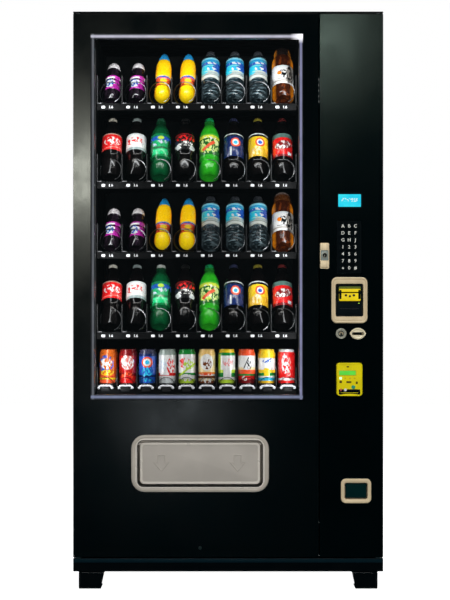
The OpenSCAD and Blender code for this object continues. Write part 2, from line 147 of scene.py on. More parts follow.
def finish(name, colour, rough=(0.3, 0.4), metallic=0.0, tint=0.85, grain=60.0, fine=900.0,
           strength=0.05, coat=0.0, specular=0.5, stretch=(1, 1, 1), attribute=None):
    """Plain surface with uneven roughness, a slight change of tone and a fine surface grain."""
    mat, tree, shader = new_material(name)
    where = coordinates(tree, attribute)
    patches = noise(tree, where, grain, stretch=stretch)
    dull = tuple(c * tint for c in colour)
    give(shader, Base_Color=mix(tree, spread(tree, patches, 0, 1), colour, dull),
         Roughness=spread(tree, patches, *rough), Metallic=metallic, Coat_Weight=coat,
         Coat_Roughness=COAT_ROUGHNESS, Specular_IOR_Level=specular)
    bump(tree, shader, noise(tree, where, fine, stretch=stretch), strength, GRAIN_DEPTH)
    return mat


def glow(name, colour, strength, base=(0.02, 0.02, 0.02)):
    """Surface that gives light of its own, a little unevenly."""
    mat, tree, shader = new_material(name)
    uneven = spread(tree, noise(tree, coordinates(tree), 45.0), 0, 1)
    give(shader, Base_Color=mix(tree, uneven, base, tuple(0.6 * c for c in base)),
         Emission_Color=mix(tree, uneven, colour, tuple(0.9 * c for c in colour)),
         Emission_Strength=strength, Roughness=0.3)
    return mat


BLACK = finish("black_powder_coat", (0.0001, 0.0010, 0.0014), (0.15, 0.20), tint=0.7, grain=9.0,
               fine=1500.0, strength=0.035, specular=0.4)
PLINTH = finish("plinth_powder_coat", (0.0001, 0.0007, 0.0013), (0.3, 0.4), grain=12.0, fine=1200.0,
                strength=0.06, specular=0.3)
LINER = finish("liner_black", (0.0025, 0.0028, 0.003), (0.55, 0.7), grain=20.0, specular=0.15)
CORE = finish("door_inner_skin", (0.02, 0.021, 0.022), (0.45, 0.6), grain=20.0)
GALVANISED = finish("galvanised_steel", (0.30, 0.31, 0.32), (0.35, 0.55), metallic=0.9, tint=0.7,
                    grain=28.0, fine=300.0)
TRAY = finish("tray_enamel", (0.0022, 0.0021, 0.0022), (0.5, 0.65), grain=30.0, specular=0.12)
DIVIDER = finish("divider_grey", (0.022, 0.022, 0.023), (0.4, 0.55), metallic=0.2, grain=30.0, specular=0.3)
TAB = finish("divider_tab", (0.20, 0.20, 0.21), (0.4, 0.5), metallic=0.3, grain=60.0)
WIRE = finish("spiral_wire", (0.30, 0.30, 0.31), (0.28, 0.4), metallic=1.0, grain=80.0)
PIN = finish("pin_steel", (0.5, 0.5, 0.51), (0.25, 0.4), metallic=1.0, grain=120.0)
FINS = finish("fin_aluminium", (0.55, 0.56, 0.58), (0.3, 0.45), metallic=1.0, fine=500.0)
COPPER = finish("copper_pipe", (0.62, 0.28, 0.15), (0.25, 0.4), metallic=1.0, grain=50.0)
ENAMEL = finish("compressor_enamel", (0.01, 0.01, 0.011), (0.15, 0.3), grain=25.0, coat=0.5)
FAN = finish("fan_plastic", (0.03, 0.03, 0.033), (0.4, 0.5), grain=30.0)
RUBBER = finish("rubber", (0.012, 0.012, 0.012), (0.6, 0.75), grain=60.0, strength=0.12)
CHAMPAGNE = finish("champagne_moulding", (0.53, 0.48, 0.415), (0.38, 0.5), metallic=0.15, tint=0.88,
                   grain=14.0, fine=1400.0, strength=0.09)
FLAP = finish("champagne_flap", (0.505, 0.465, 0.42), (0.42, 0.55), metallic=0.15, tint=0.9,
              grain=10.0, fine=1300.0, strength=0.12)
# Painted highlight: a lighter copy of the champagne, on the rims that catch the light.
RIM_PAINTED_HIGHLIGHT = finish("champagne_rim_painted_highlight", (0.72, 0.67, 0.60), (0.25, 0.35), metallic=0.15, tint=0.9, grain=14.0)
# Painted highlight: a lighter teal than the plinth, for the light that its top edge catches.
LIP_PAINTED_HIGHLIGHT = finish("plinth_lip_painted_highlight", (0.0022, 0.010, 0.015), (0.3, 0.4), grain=30.0, coat=0.2)
DARK_SCREW = finish("door_screw_paint", (0.010, 0.018, 0.018), (0.35, 0.45), grain=30.0)
PLATE = finish("champagne_plate", (0.88, 0.72, 0.47), (0.3, 0.42), metallic=0.1, tint=0.8, grain=40.0,
               stretch=(6, 1, 0.3))
WAIST = finish("handle_waist", (0.34, 0.39, 0.37), (0.25, 0.4), metallic=0.3, tint=0.8, grain=60.0)
BEIGE = finish("beige_moulding", (0.68, 0.55, 0.355), (0.32, 0.45), tint=0.88, grain=30.0, fine=1500.0,
               strength=0.07, coat=0.15)
BLACK_PLASTIC = finish("black_plastic", (0.006, 0.007, 0.008), (0.3, 0.45), grain=60.0)
GLOSS_BLACK = finish("gloss_black", (0.004, 0.006, 0.007), (0.08, 0.16), grain=40.0, coat=0.6)
KEYPAD = finish("keypad_membrane", (0.0012, 0.0024, 0.0032), (0.4, 0.5), grain=70.0, strength=0.1)
RING = finish("reader_rim", (0.60, 0.44, 0.02), (0.25, 0.35), tint=0.9, grain=30.0, coat=0.4)
DOT_RED = finish("dot_red", (0.55, 0.10, 0.08), (0.3, 0.4), grain=90.0)
DOT_TEAL = finish("dot_teal", (0.03, 0.30, 0.20), (0.25, 0.35), grain=90.0)
KEY_FACE = finish("key_face", (0.0012, 0.0022, 0.0030), (0.3, 0.4), grain=120.0)
YELLOW = finish("yellow_plastic", (0.80, 0.67, 0.006), (0.22, 0.35), tint=0.9, grain=30.0, coat=0.3)
CHROME = finish("button_metal", (0.50, 0.50, 0.41), (0.2, 0.35), metallic=0.3, tint=0.7, grain=90.0)
COIN = finish("coin_bezel_metal", (0.92, 0.82, 0.58), (0.25, 0.4), metallic=0.15, tint=0.85, grain=60.0)
TEAL = finish("teal_flap", (0.001, 0.014, 0.014), (0.12, 0.25), grain=30.0, coat=0.4)
CLIP = finish("clip_white", (0.72, 0.74, 0.78), (0.25, 0.35), grain=90.0, tint=0.9)
INK = finish("ink_dark", (0.02, 0.02, 0.025), (0.4, 0.5), grain=90.0)
ICON = finish("icon_brown", (0.10, 0.07, 0.01), (0.4, 0.5), grain=90.0)
SCREW = finish("screw_steel", (0.35, 0.35, 0.36), (0.25, 0.4), metallic=1.0, grain=150.0)
GREEN_LED = glow("led_green", (0.55, 1.0, 0.1), 1.6)
PALE_LED = glow("led_pale", (0.6, 1.0, 0.6), 1.4)
READER_LCD = glow("reader_screen", (0.12, 0.80, 0.06), 0.85)
MOUTH = glow("lit_mouth", (0.92, 0.70, 0.01), 0.58, base=(0.4, 0.30, 0.01))
MOUTH_DIM = glow("dim_mouth", (0.10, 0.13, 0.02), 0.7, base=(0.04, 0.05, 0.01))
GLYPH = glow("key_glyph", (0.50, 0.52, 0.46), 0.55, base=(0.45, 0.45, 0.42))
# Painted glow: the white price tags are no lamps; the glow stands in for the light that falls on them.
PRICE_TAG_PAINTED_GLOW = glow("price_tag", (0.9, 0.92, 0.96), 0.4, base=(0.8, 0.8, 0.82))
LED_STRIP = glow("led_strip", (0.9, 0.96, 1.0), 0.04)


def trim_material():
    """Lit trim round the window: brilliant along the top, bluish right and below, dim on the left."""
    mat, tree, shader = new_material("lit_trim")
    lo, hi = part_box("window_trim")
    where = coordinates(tree)
    x, _, z = axes(tree, where)
    from_left = maths(tree, "SUBTRACT", x, lo.x)
    from_right = maths(tree, "SUBTRACT", hi.x, x)
    from_foot = maths(tree, "SUBTRACT", z, lo.z)
    from_top = maths(tree, "SUBTRACT", hi.z, z)
    # Each lit line: its distance, middle and half width in mm, and its colour
    colour = (0.006, 0.008, 0.010)
    for distance, middle, half, tone in ((from_left, 7, 4, (0.12, 0.13, 0.145)),
                                         (from_right, 6, 5, (0.24, 0.25, 0.42)),
                                         (from_foot, 8, 6, (0.19, 0.22, 0.34)),
                                         (from_top, 8, 6, (0.52, 0.52, 0.62))):
        gap = maths(tree, "ABSOLUTE", maths(tree, "SUBTRACT", distance, middle * MM))
        colour = mix(tree, spread(tree, gap, 1, 0, 0.35 * half * MM, half * MM), colour, tone)
    corner = maths(tree, "MULTIPLY", spread(tree, from_right, 1, 0, 0.012, 0.04),
                   spread(tree, from_top, 1, 0, 0.012, 0.03))
    colour = mix(tree, corner, colour, (1.3, 1.3, 1.35))
    flicker = spread(tree, noise(tree, where, 30.0), 0.8, 1.0)
    give(shader, Emission_Color=mix(tree, flicker, NO_LIGHT, colour), Emission_Strength=1.0,
         Base_Color=(0.02, 0.02, 0.023), Roughness=0.35)
    return mat


def pane_material():
    mat, tree, shader = new_material("window_pane")
    give(shader, Roughness=spread(tree, noise(tree, coordinates(tree), 6.0), 0.02, 0.06),
         Base_Color=(0.01, 0.014, 0.016), Alpha=0.05)
    return mat


def lcd_material():
    """Backlit display with blots of lighter segments along its middle."""
    mat, tree, shader = new_material("display_screen")
    lo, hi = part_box("display")
    where = coordinates(tree)
    x, y, z = axes(tree, where)
    cells = tree.nodes.new("ShaderNodeTexNoise")
    give(cells, Scale=210.0, Detail=1.0, Vector=where)
    marks = maths(tree, "GREATER_THAN", cells.outputs["Fac"], 0.52)
    middle = (lo.z + hi.z) / 2
    band = maths(tree, "COMPARE", z, middle + 2 * MM, 6 * MM)
    inside = maths(tree, "COMPARE", x, (lo.x + hi.x) / 2, 26 * MM)
    marks = maths(tree, "MULTIPLY", marks, maths(tree, "MULTIPLY", band, inside))
    shade = spread(tree, noise(tree, where, 25.0), 0, 1)
    back = mix(tree, shade, (0.02, 0.68, 0.93), (0.05, 0.88, 1.0))
    near_front = maths(tree, "LESS_THAN", y, lo.y + 1.5 * MM)
    screen = mix(tree, marks, back, (0.65, 0.98, 1.0))
    give(shader, Emission_Color=mix(tree, near_front, NO_LIGHT, screen), Emission_Strength=0.9,
         Base_Color=(0.0, 0.01, 0.02), Roughness=0.15)
    return mat


# ---------------------------------------------------------------- shapes

def rounded_loop(w, h, r, y, steps=6):
    """Points round a rectangle with round corners, in the XZ plane, at depth y."""
    r = min(r, w / 2, h / 2)
    points = []
    for corner, (cx, cz) in enumerate(((1, 1), (-1, 1), (-1, -1), (1, -1))):
        for i in range(steps + 1):
            a = math.pi / 2 * (corner + i / steps)
            points.append((cx * (w / 2 - r) + r * math.cos(a), y,
                           cz * (h / 2 - r) + r * math.sin(a)))
    return points


def lens_loop(w, h, y, steps=48):
    """Points round a lens, in the XZ plane, at depth y: an oval that comes to soft points."""
    points = []
    for i in range(steps):
        a = 2 * math.pi * i / steps
        rise = math.copysign(abs(math.sin(a)) ** 1.25, math.sin(a))
        points.append((w / 2 * math.cos(a), y, h / 2 * rise))
    return points


class Shape:
    """Collects geometry in millimetres for one piece, measured from a point of its own."""

    def __init__(self, x=0.0, y=0.0, z=0.0):
        self.origin = Vector((x, y, z))
        self.verts, self.faces, self.kinds, self.spots = [], [], [], []

    def add(self, verts, faces, kind=0, matrix=None):
        base = len(self.verts)
        own = [Vector(v) for v in verts]
        self.verts += [matrix @ v for v in own] if matrix else own
        self.spots += own
        self.faces += [[base + i for i in f] for f in faces]
        self.kinds += kind if isinstance(kind, list) else [kind] * len(faces)

    def loft(self, loops, kind=0, caps=(True, True), ring=False, matrix=None):
        """Joins loops of equal length. kind may be a list with one entry per band."""
        n, count = len(loops[0]), len(loops)
        bands = count if ring else count - 1
        band_kinds = kind if isinstance(kind, list) else [kind] * bands
        faces, kinds = [], []
        for b in range(bands):
            c = (b + 1) % count
            for i in range(n):
                j = (i + 1) % n
                faces.append([b * n + i, b * n + j, c * n + j, c * n + i])
                kinds.append(band_kinds[b])
        if caps[0] and not ring:
            faces.append(list(range(n))[::-1])
            kinds.append(band_kinds[0])
        if caps[1] and not ring:
            faces.append([(count - 1) * n + i for i in range(n)])
            kinds.append(band_kinds[-1])
        self.add([p for loop in loops for p in loop], faces, kinds, matrix)

    def slab(self, x, z, w, h, r, y0, y1, edge=0.6, kind=0):
        """Upright plate whose front is at y0, with its front and back edges broken."""
        e = min(edge, (y1 - y0) / 2.01)
        levels = [(2 * e, y0), (0.6 * e, y0 + 0.35 * e), (0, y0 + e), (0, y1 - e), (0.8 * e, y1)]
        loops = [rounded_loop(w - cut, h - cut, max(r - cut / 2, 0.05), y) for cut, y in levels]
        self.loft(loops[::-1], kind, matrix=Matrix.Translation((x, 0, z)))

    def frame(self, x, z, outer, inner, y0, y1, edge=1.0, kind=0):
        """Ring between two round-cornered rectangles, each given by its width, height and radius."""
        (ow, oh, orad), (iw, ih, irad) = outer, inner
        levels = [(ow, oh, orad, y1), (ow, oh, orad, y0 + edge),
                  (ow - 0.6 * edge, oh - 0.6 * edge, orad - 0.3 * edge, y0 + 0.3 * edge),
                  (ow - 2 * edge, oh - 2 * edge, orad - edge, y0),
                  ((ow + iw) / 2, (oh + ih) / 2, (orad + irad) / 2, y0),
                  (iw + 2 * edge, ih + 2 * edge, irad + edge, y0),
                  (iw + 0.6 * edge, ih + 0.6 * edge, irad + 0.3 * edge, y0 + 0.3 * edge),
                  (iw, ih, irad, y0 + edge), (iw, ih, irad, y1)]
        loops = [rounded_loop(w, h, max(r, 0.05), y) for w, h, r, y in levels]
        self.loft(loops, kind, ring=True, matrix=Matrix.Translation((x, 0, z)))

    def ring(self, levels, kind=0, outline=rounded_loop):
        """Closed ring through (w, h, r, y) outlines, from its outer back edge round to its inner one."""
        self.loft([outline(w, h, r, y) for w, h, r, y in levels], kind, ring=True)

    def box(self, lo, hi, kind=0, edge=0.4):
        self.slab((lo[0] + hi[0]) / 2, (lo[2] + hi[2]) / 2, hi[0] - lo[0], hi[2] - lo[2], edge,
                  lo[1], hi[1], edge, kind)

    def turned(self, profile, matrix, segments=40, kind=0, lobes=0, lobe_depth=0.0, lobe_at=0.0):
        """Revolves (radius, height) points about Z. The base may have lobes, as a soda bottle's has."""
        loops = []
        for r, h in profile:
            near = 0.0
            if lobes and h < lobe_at * 0.6:
                near = max(0.0, 1 - abs(r - lobe_at) / lobe_at)
            loop = []
            for i in range(segments):
                a = 2 * math.pi * i / segments
                lift = lobe_depth * near * (0.5 + 0.5 * math.cos(lobes * a))
                loop.append((r * math.sin(a), -r * math.cos(a), h + lift))
            loops.append(loop)
        self.loft(loops, kind, matrix=matrix)

    def knob(self, x, z, profile, kind=0, segments=32):
        """Turned about Y: (radius, y) points, front last."""
        turn = Matrix.Translation((x, 0, z)) @ Matrix.Rotation(math.pi / 2, 4, "X")
        self.turned([(r, -y) for r, y in profile], turn, segments, kind)

    def tube(self, path, radius, sides=8, kind=0):
        """Round wire along a list of points, closed at both ends."""
        points = [Vector(p) for p in path]
        loops, up = [], Vector((0, 0, 1))
        for i, p in enumerate(points):
            ahead = (points[min(i + 1, len(points) - 1)] - points[max(i - 1, 0)]).normalized()
            if i == 0 and abs(ahead.dot(up)) > 0.9:
                up = Vector((1, 0, 0))
            side = ahead.cross(up).normalized()
            up = side.cross(ahead).normalized()
            loops.append([p + radius * (math.cos(a) * side + math.sin(a) * up)
                          for a in (2 * math.pi * k / sides for k in range(sides))])
        self.loft(loops, kind)

    def make(self, name, body, slot, materials, sharp=38.0, spots=False):
        """The piece itself. With spots, each point's place in its own product is kept for the print."""
        mesh = bpy.data.meshes.new(name)
        mesh.from_pydata([(v + self.origin) * MM for v in self.verts], [], self.faces)
        for mat in materials:
            mesh.materials.append(mat)
        mesh.polygons.foreach_set("material_index", self.kinds)
        mesh.polygons.foreach_set("use_smooth", [True] * len(self.faces))
        if spots:
            data = mesh.attributes.new("spot", "FLOAT_VECTOR", "POINT").data
            data.foreach_set("vector", [c * MM for s in self.spots for c in s])
        mesh.update()
        mesh.set_sharp_from_angle(angle=math.radians(sharp))
        obj = bpy.data.objects.new(name, mesh)
        bpy.context.scene.collection.objects.link(obj)
        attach(obj, body)
        return obj


def box_mm(node):
    lo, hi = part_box(node)
    return lo / MM, hi / MM


def front_of(node):
    """A node's middle in x and z, its width and height, and its front and back in y."""
    lo, hi = box_mm(node)
    return (lo.x + hi.x) / 2, (lo.z + hi.z) / 2, hi.x - lo.x, hi.z - lo.z, lo.y, hi.y


def glyph_shape(shape, text, size, x, y, z, kind=0):
    """Adds flat raised characters, centred on x and z, with their face at y."""
    curve = bpy.data.curves.new("glyph", "FONT")
    curve.body = text
    curve.size = size * MM
    curve.align_x = "CENTER"
    curve.align_y = "CENTER"
    curve.extrude = 0.12 * MM
    curve.offset = 0.018 * size * MM
    curve.resolution_u = 3
    obj = bpy.data.objects.new("glyph", curve)
    bpy.context.scene.collection.objects.link(obj)
    bpy.context.view_layer.update()
    mesh = obj.evaluated_get(bpy.context.evaluated_depsgraph_get()).to_mesh()
    upright = Matrix.Translation((x, y, z)) @ Matrix.Rotation(math.pi / 2, 4, "X")
    shape.add([v.co / MM for v in mesh.vertices], [list(p.vertices) for p in mesh.polygons],
              kind, upright)
    bpy.data.objects.remove(obj)
    bpy.data.curves.remove(curve)


# ---------------------------------------------------------------- stage

def build_stage():
    scene = bpy.context.scene
    scene.view_settings.view_transform = "Standard"
    camera = bpy.data.cameras.new("camera")
    view = bpy.data.objects.new("camera", camera)
    scene.collection.objects.link(view)
    door_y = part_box("door_frame")[0].y
    height = cad_hi.z - cad_lo.z
    distance, seen_height = 5.4, height * 1.0389
    view.location = (-0.010, door_y - distance, height * 0.5005)
    view.rotation_euler = (math.pi / 2, 0, 0)
    camera.sensor_width = 36.0
    camera.lens = camera.sensor_width * distance / seen_height
    scene.camera = view

    world = bpy.data.worlds.new("studio")
    scene.world = world
    world.use_nodes = True
    tree = world.node_tree
    path = tree.nodes.new("ShaderNodeLightPath")
    seen = mix(tree, path.outputs["Is Camera Ray"], (0.005, 0.020, 0.025), (1.0, 1.0, 1.0))
    give(tree.nodes["Background"], Color=seen)

    floor_shape = bpy.data.meshes.new("floor")
    reach = 9.0
    corners = [(-reach, -reach, 0), (reach, -reach, 0), (reach, reach, 0), (-reach, reach, 0)]
    floor_shape.from_pydata(corners, [], [[0, 1, 2, 3]])
    floor = bpy.data.objects.new("floor", floor_shape)
    scene.collection.objects.link(floor)
    floor_shape.materials.append(floor_material())
    floor.visible_glossy = False
    floor.visible_diffuse = False

    fill = softbox("front_fill", (0.4, -6.4, 2.4), (0, 0, 0.9), 3.0, 3.0, 330, (1.0, 0.99, 0.97))
    fill.visible_glossy = False
    door, shell = ("door_frame",), ("cabinet_shell", "base_frame")
    for *box, receivers in (
            ("left_softbox", (-0.90, -5.6, 1.70), (-0.45, -0.4, 1.33), 0.25, 0.26, 14,
             (0.97, 1.0, 0.86), door),
            ("low_softbox", (-0.34, -5.6, 0.24), (-0.18, -0.4, 0.56), 0.35, 0.14, 1.5,
             (0.85, 0.95, 1.0), door),
            ("right_softbox", (0.56, -5.6, 2.60), (0.30, -0.4, 1.75), 0.12, 0.5, 5.0,
             (0.74, 1.0, 0.84), ("control_panel",)),
            ("top_softbox", (0, -1.2, 4.2), (0, 0.2, 0.9), 2.6, 1.6, 42, (1, 1, 1), ()),
            ("left_side_softbox", (-5.0, -4.6, 1.6), (-0.45, 0, 0.95), 3.0, 3.4, 60,
             (0.92, 1.0, 1.0), shell),
            ("right_side_softbox", (5.0, -4.6, 1.6), (0.45, 0, 0.95), 3.0, 3.4, 60,
             (0.92, 1.0, 1.0), shell),
            ("rear_left_softbox", (-2.9, 3.0, 2.3), (0, 0.2, 0.9), 1.8, 2.2, 60, (1, 1, 1), ()),
            ("rear_right_softbox", (3.2, 1.6, 2.0), (0, 0.2, 0.9), 1.6, 2.2, 45, (1, 1, 1), ())):
        light = softbox(*box)
        if receivers:
            only_for(light, *receivers)
    window_lights()


def only_for(light, *nodes):
    """Lets a light fall on these nodes alone: the doors hang at slightly different angles."""
    group = bpy.data.collections.new(light.name + "_receivers")
    for node in nodes:
        group.objects.link(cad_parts[node])
    light.light_linking.receiver_collection = group


def floor_material():
    mat, tree, shader = new_material("pale_floor")
    uneven = spread(tree, noise(tree, coordinates(tree), 3.0), 0, 1)
    give(shader, Base_Color=mix(tree, uneven, (0.86, 0.86, 0.86), (0.84, 0.84, 0.84)),
         Emission_Color=mix(tree, uneven, (1.0, 1.0, 1.0), (0.99, 0.99, 0.99)),
         Emission_Strength=1.0, Roughness=0.7)
    return mat


def softbox(name, place, target, width, height, power, colour):
    """Lit rectangle at place, facing target."""
    light = bpy.data.lights.new(name, "AREA")
    light.shape = "RECTANGLE"
    light.size = width
    light.size_y = height
    light.energy = power
    light.color = colour
    obj = bpy.data.objects.new(name, light)
    obj.location = place
    obj.rotation_euler = (Vector(target) - Vector(place)).to_track_quat("-Z", "Y").to_euler()
    bpy.context.scene.collection.objects.link(obj)
    return obj


def window_lights():
    """Lamps that light the goods from inside the glass: behind the lit trim and under two trays."""
    lo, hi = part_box("window_trim")
    x, y, z = (lo.x + hi.x) / 2, hi.y + 0.055, (lo.z + hi.z) / 2
    tall, inset, cool, warm = (hi.z - lo.z) * 0.96, 0.03, (0.95, 0.98, 1.0), (1.0, 0.99, 0.94)
    lamps = [("left_lamp", (lo.x + inset, y, z), (x, y + 0.32, z), 0.03, tall, 1.7, cool),
             ("right_lamp", (hi.x - inset, y, z), (x, y + 0.32, z), 0.03, tall, 1.7, cool),
             ("top_lamp", (x, y, hi.z - inset), (x, y + 0.28, z), hi.x - lo.x - 0.1, 0.03, 1.4, cool)]
    for tray in TRAYS[0:4:2]:
        low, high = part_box(tray)
        x = (low.x + high.x) / 2
        lamps.append((f"lamp_under_{tray}", (x, low.y + 0.012, low.z - 0.004),
                      (x, low.y + 0.05, low.z - 0.2), high.x - low.x - 0.04, 0.008, 0.35, warm))
    for lamp in lamps:
        softbox(*lamp).visible_camera = False


# ---------------------------------------------------------------- CAD nodes

def dress(node, *materials):
    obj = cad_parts[node]
    obj.data.materials.clear()
    for mat in materials:
        obj.data.materials.append(mat)
    return obj


def soften(node, width, segments=2):
    """Rounds a CAD node's edges with modifiers, so that they catch the light."""
    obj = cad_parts[node]
    weld = obj.modifiers.new("weld", "WELD")
    weld.merge_threshold = 0.00002
    bevel = obj.modifiers.new("round_edges", "BEVEL")
    bevel.width = width * MM
    bevel.segments = segments
    bevel.limit_method = "ANGLE"
    bevel.angle_limit = math.radians(40)
    bevel.harden_normals = True


def dress_cad():
    looks = {
        "base_frame": PLINTH, "cabinet_shell": BLACK, "rear_panel": GALVANISED, "inner_liner": LINER,
        "hinge_pins": PIN, "compressor": ENAMEL, "condenser_coil": FINS, "evaporator_coil": FINS,
        "condenser_fan": FAN, "evaporator_fan": FAN, "door_frame": BLACK, "door_core": CORE,
        "window_glass": pane_material(), "window_trim": trim_material(), "door_gasket": RUBBER,
        "delivery_port": CHAMPAGNE, "delivery_flap": FLAP, "control_panel": BLACK,
        "display": lcd_material(), "keypad_plate": KEYPAD, "lock_plate": PLATE, "latch_handle": PLATE,
        "bill_bezel": BEIGE, "bill_validator": YELLOW, "coin_button": CHROME, "coin_mechanism": COIN,
        "card_reader": YELLOW, "coin_cup": BEIGE, "coin_flap": TEAL,
    }
    for node, mat in looks.items():
        dress(node, mat)
    for tray in TRAYS:
        dress(tray, TRAY)
    for name in KEYS:
        dress(f"key_{name}", KEY_FACE)
        soften(f"key_{name}", 0.7)
    for node, width in (("door_frame", 1.2), ("control_panel", 1.2), ("cabinet_shell", 0.8),
                        ("base_frame", 1.8), ("keypad_plate", 0.6), ("lock_plate", 0.8),
                        ("latch_handle", 0.8), ("rear_panel", 0.3)):
        soften(node, width)


# ---------------------------------------------------------------- printed goods

def printed(name, bands, marks=(), rough=0.28, coat=0.5, metallic=0.0):
    """Wrapper print in a product's own coordinates. bands are (height in mm, colour) from the bottom
    up, and marks are (kind, x, z, width, height, turn, colour) in mm and degrees, on the front."""
    mat, tree, shader = new_material(name)
    spot = coordinates(tree, "spot")
    x, y, z = axes(tree, spot)
    colour = bands[0][1]
    for height, shade in bands[1:]:
        colour = mix(tree, maths(tree, "GREATER_THAN", z, height * MM), colour, shade)
    front = maths(tree, "LESS_THAN", y, 0.0)
    blots = noise(tree, spot, 150.0, detail=1.0, stretch=(1.0, 1.0, 0.6))

    def along(first, by, second, with_sine, size):
        """A turned distance from the mark's middle, where 1 is its edge."""
        both = maths(tree, "MULTIPLY_ADD", first, by, maths(tree, "MULTIPLY", second, with_sine))
        return maths(tree, "MULTIPLY", both, 2 / (size * MM))

    for kind, mx, mz, w, h, turn, shade in marks:
        cosine, sine = math.cos(math.radians(turn)), math.sin(math.radians(turn))
        dx = maths(tree, "SUBTRACT", x, mx * MM)
        dz = maths(tree, "SUBTRACT", z, mz * MM)
        u = along(dx, cosine, dz, sine, w)
        v = along(dz, cosine, dx, -sine, h)
        if kind == "bar":
            reach = maths(tree, "MAXIMUM", maths(tree, "ABSOLUTE", u), maths(tree, "ABSOLUTE", v))
        else:
            square = maths(tree, "MULTIPLY_ADD", u, u, maths(tree, "MULTIPLY", v, v))
            reach = maths(tree, "SQRT", square)
        share = maths(tree, "MULTIPLY", maths(tree, "LESS_THAN", reach, 1.0), front)
        if kind == "ring":
            share = maths(tree, "MULTIPLY", share, maths(tree, "GREATER_THAN", reach, 0.68))
        if kind == "blots":
            share = maths(tree, "MULTIPLY", share, maths(tree, "GREATER_THAN", blots, 0.5))
        colour = mix(tree, share, colour, shade)
    worn = spread(tree, noise(tree, spot, 60.0), 0, 1)
    give(shader, Base_Color=mix(tree, worn, colour, mix(tree, 0.12, colour, (0.0, 0.0, 0.0))),
         Roughness=spread(tree, worn, rough * 0.8, rough * 1.2, 0, 1), Metallic=metallic, Coat_Weight=coat)
    return mat


def bottle_plastic(name, colour, painted_glow=0.0, rough=(0.06, 0.14), alpha=1.0, streak=None, above=0.0,
                   stretch=(1, 1, 0.55), edge=None, ripple=0.2, shine=0.8):
    """Filled bottle: deep glossy colour with a little painted glow, which stands in for the light through
    the drink. streak is
    a second colour: in painted refraction streaks, or from the height above on, where that is given. edge
    is a colour and the two distances from the middle, in mm, between which it takes over at the sides:
    painted light and shade there.
    ripple is how uneven the wall is, and shine how strongly it reflects."""
    mat, tree, shader = new_material(name)
    spot = coordinates(tree, "spot")
    x, _, z = axes(tree, spot)
    patches = noise(tree, spot, 60.0)
    # Painted refraction streaks; from the height above on, the second colour instead.
    share = spread(tree, noise(tree, spot, 95.0, detail=1.5, stretch=stretch), 0, 1, 0.5, 0.6)
    if above:
        share = spread(tree, z, 0, 1, (above - 12) * MM, (above + 12) * MM)
    body = mix(tree, share, colour, streak) if streak else colour
    # Painted light and shade at the sides, where light passes through the bottle's edges.
    if edge:
        shade, start, end = edge
        aside = maths(tree, "ABSOLUTE", x)
        body = mix(tree, spread(tree, aside, 0, 1, start * MM, end * MM), body, shade)
    body = mix(tree, spread(tree, patches, 0, 0.35), body, tuple(0.5 * c for c in colour))
    # The emission is a painted glow for the light that passes through the drink.
    give(shader, Base_Color=body, Emission_Color=body, Roughness=spread(tree, patches, *rough),
         Emission_Strength=painted_glow, Specular_IOR_Level=shine, Alpha=alpha)
    bump(tree, shader, noise(tree, spot, 70.0, detail=1.0), ripple, 0.0015)
    return mat


WHITE, CREAM, SILVER = (0.85, 0.85, 0.84), (0.90, 0.72, 0.38), (0.66, 0.71, 0.72)
RED, DARK_RED, CORAL = (0.80, 0.012, 0.012), (0.22, 0.006, 0.008), (0.88, 0.10, 0.03)
NAVY, BLUE, SKY = (0.006, 0.022, 0.12), (0.015, 0.10, 0.52), (0.03, 0.50, 0.80)
GREEN, LIME, YELLOW_INK = (0.01, 0.26, 0.04), (0.50, 0.74, 0.05), (0.90, 0.62, 0.02)
MAGENTA, ORANGE = (0.46, 0.02, 0.34), (0.92, 0.23, 0.01)
SOOT, BROWN, GOLD = (0.008, 0.008, 0.009), (0.20, 0.05, 0.01), (0.80, 0.47, 0.02)
AMBER_INK, PLUM_DARK = (0.62, 0.12, 0.01), (0.012, 0.005, 0.014)

COLA = bottle_plastic("cola_bottle", (0.0024, 0.0018, 0.0018), rough=(0.12, 0.18), ripple=0.02, shine=0.35)
# The glows, streaks and side colours of the drinks below are painted light passing through and bending in
# the bottles.
LEAF = bottle_plastic("green_bottle", (0.002, 0.075, 0.022), 0.25, (0.16, 0.24),
                      streak=(0.002, 0.035, 0.012), above=190, edge=((0.001, 0.03, 0.010), 18, 30),
                      ripple=0.03, shine=0.4)
BRIGHT = bottle_plastic("bright_green_bottle", (0.020, 0.34, 0.012), 0.36, (0.16, 0.24),
                        streak=(0.006, 0.12, 0.015), above=196, edge=((0.004, 0.13, 0.02), 19, 32),
                        ripple=0.03, shine=0.4)
PLUM = bottle_plastic("plum_bottle", (0.005, 0.003, 0.005), rough=(0.12, 0.2), streak=(0.02, 0.010, 0.02))
JUICE = bottle_plastic("juice_bottle", (0.95, 0.66, 0.004), 0.40, (0.2, 0.3), streak=(0.95, 0.56, 0.003),
                       above=66, edge=((0.95, 0.26, 0.004), 19, 27))
CLEAR = bottle_plastic("clear_bottle", (0.010, 0.018, 0.022), 0.12, (0.08, 0.16), 0.85,
                       streak=(0.12, 0.17, 0.19), stretch=(0.4, 0.4, 1.6),
                       edge=((0.08, 0.12, 0.14), 22, 29))
AMBER = bottle_plastic("amber_bottle", (0.030, 0.006, 0.0015), 0.45, (0.15, 0.25),
                       streak=(0.10, 0.02, 0.003), edge=((0.85, 0.26, 0.004), 22, 34))


def cap_plastic(name, colour):
    return finish(name, colour, (0.25, 0.4), tint=0.8, grain=90.0, coat=0.2, attribute="spot")


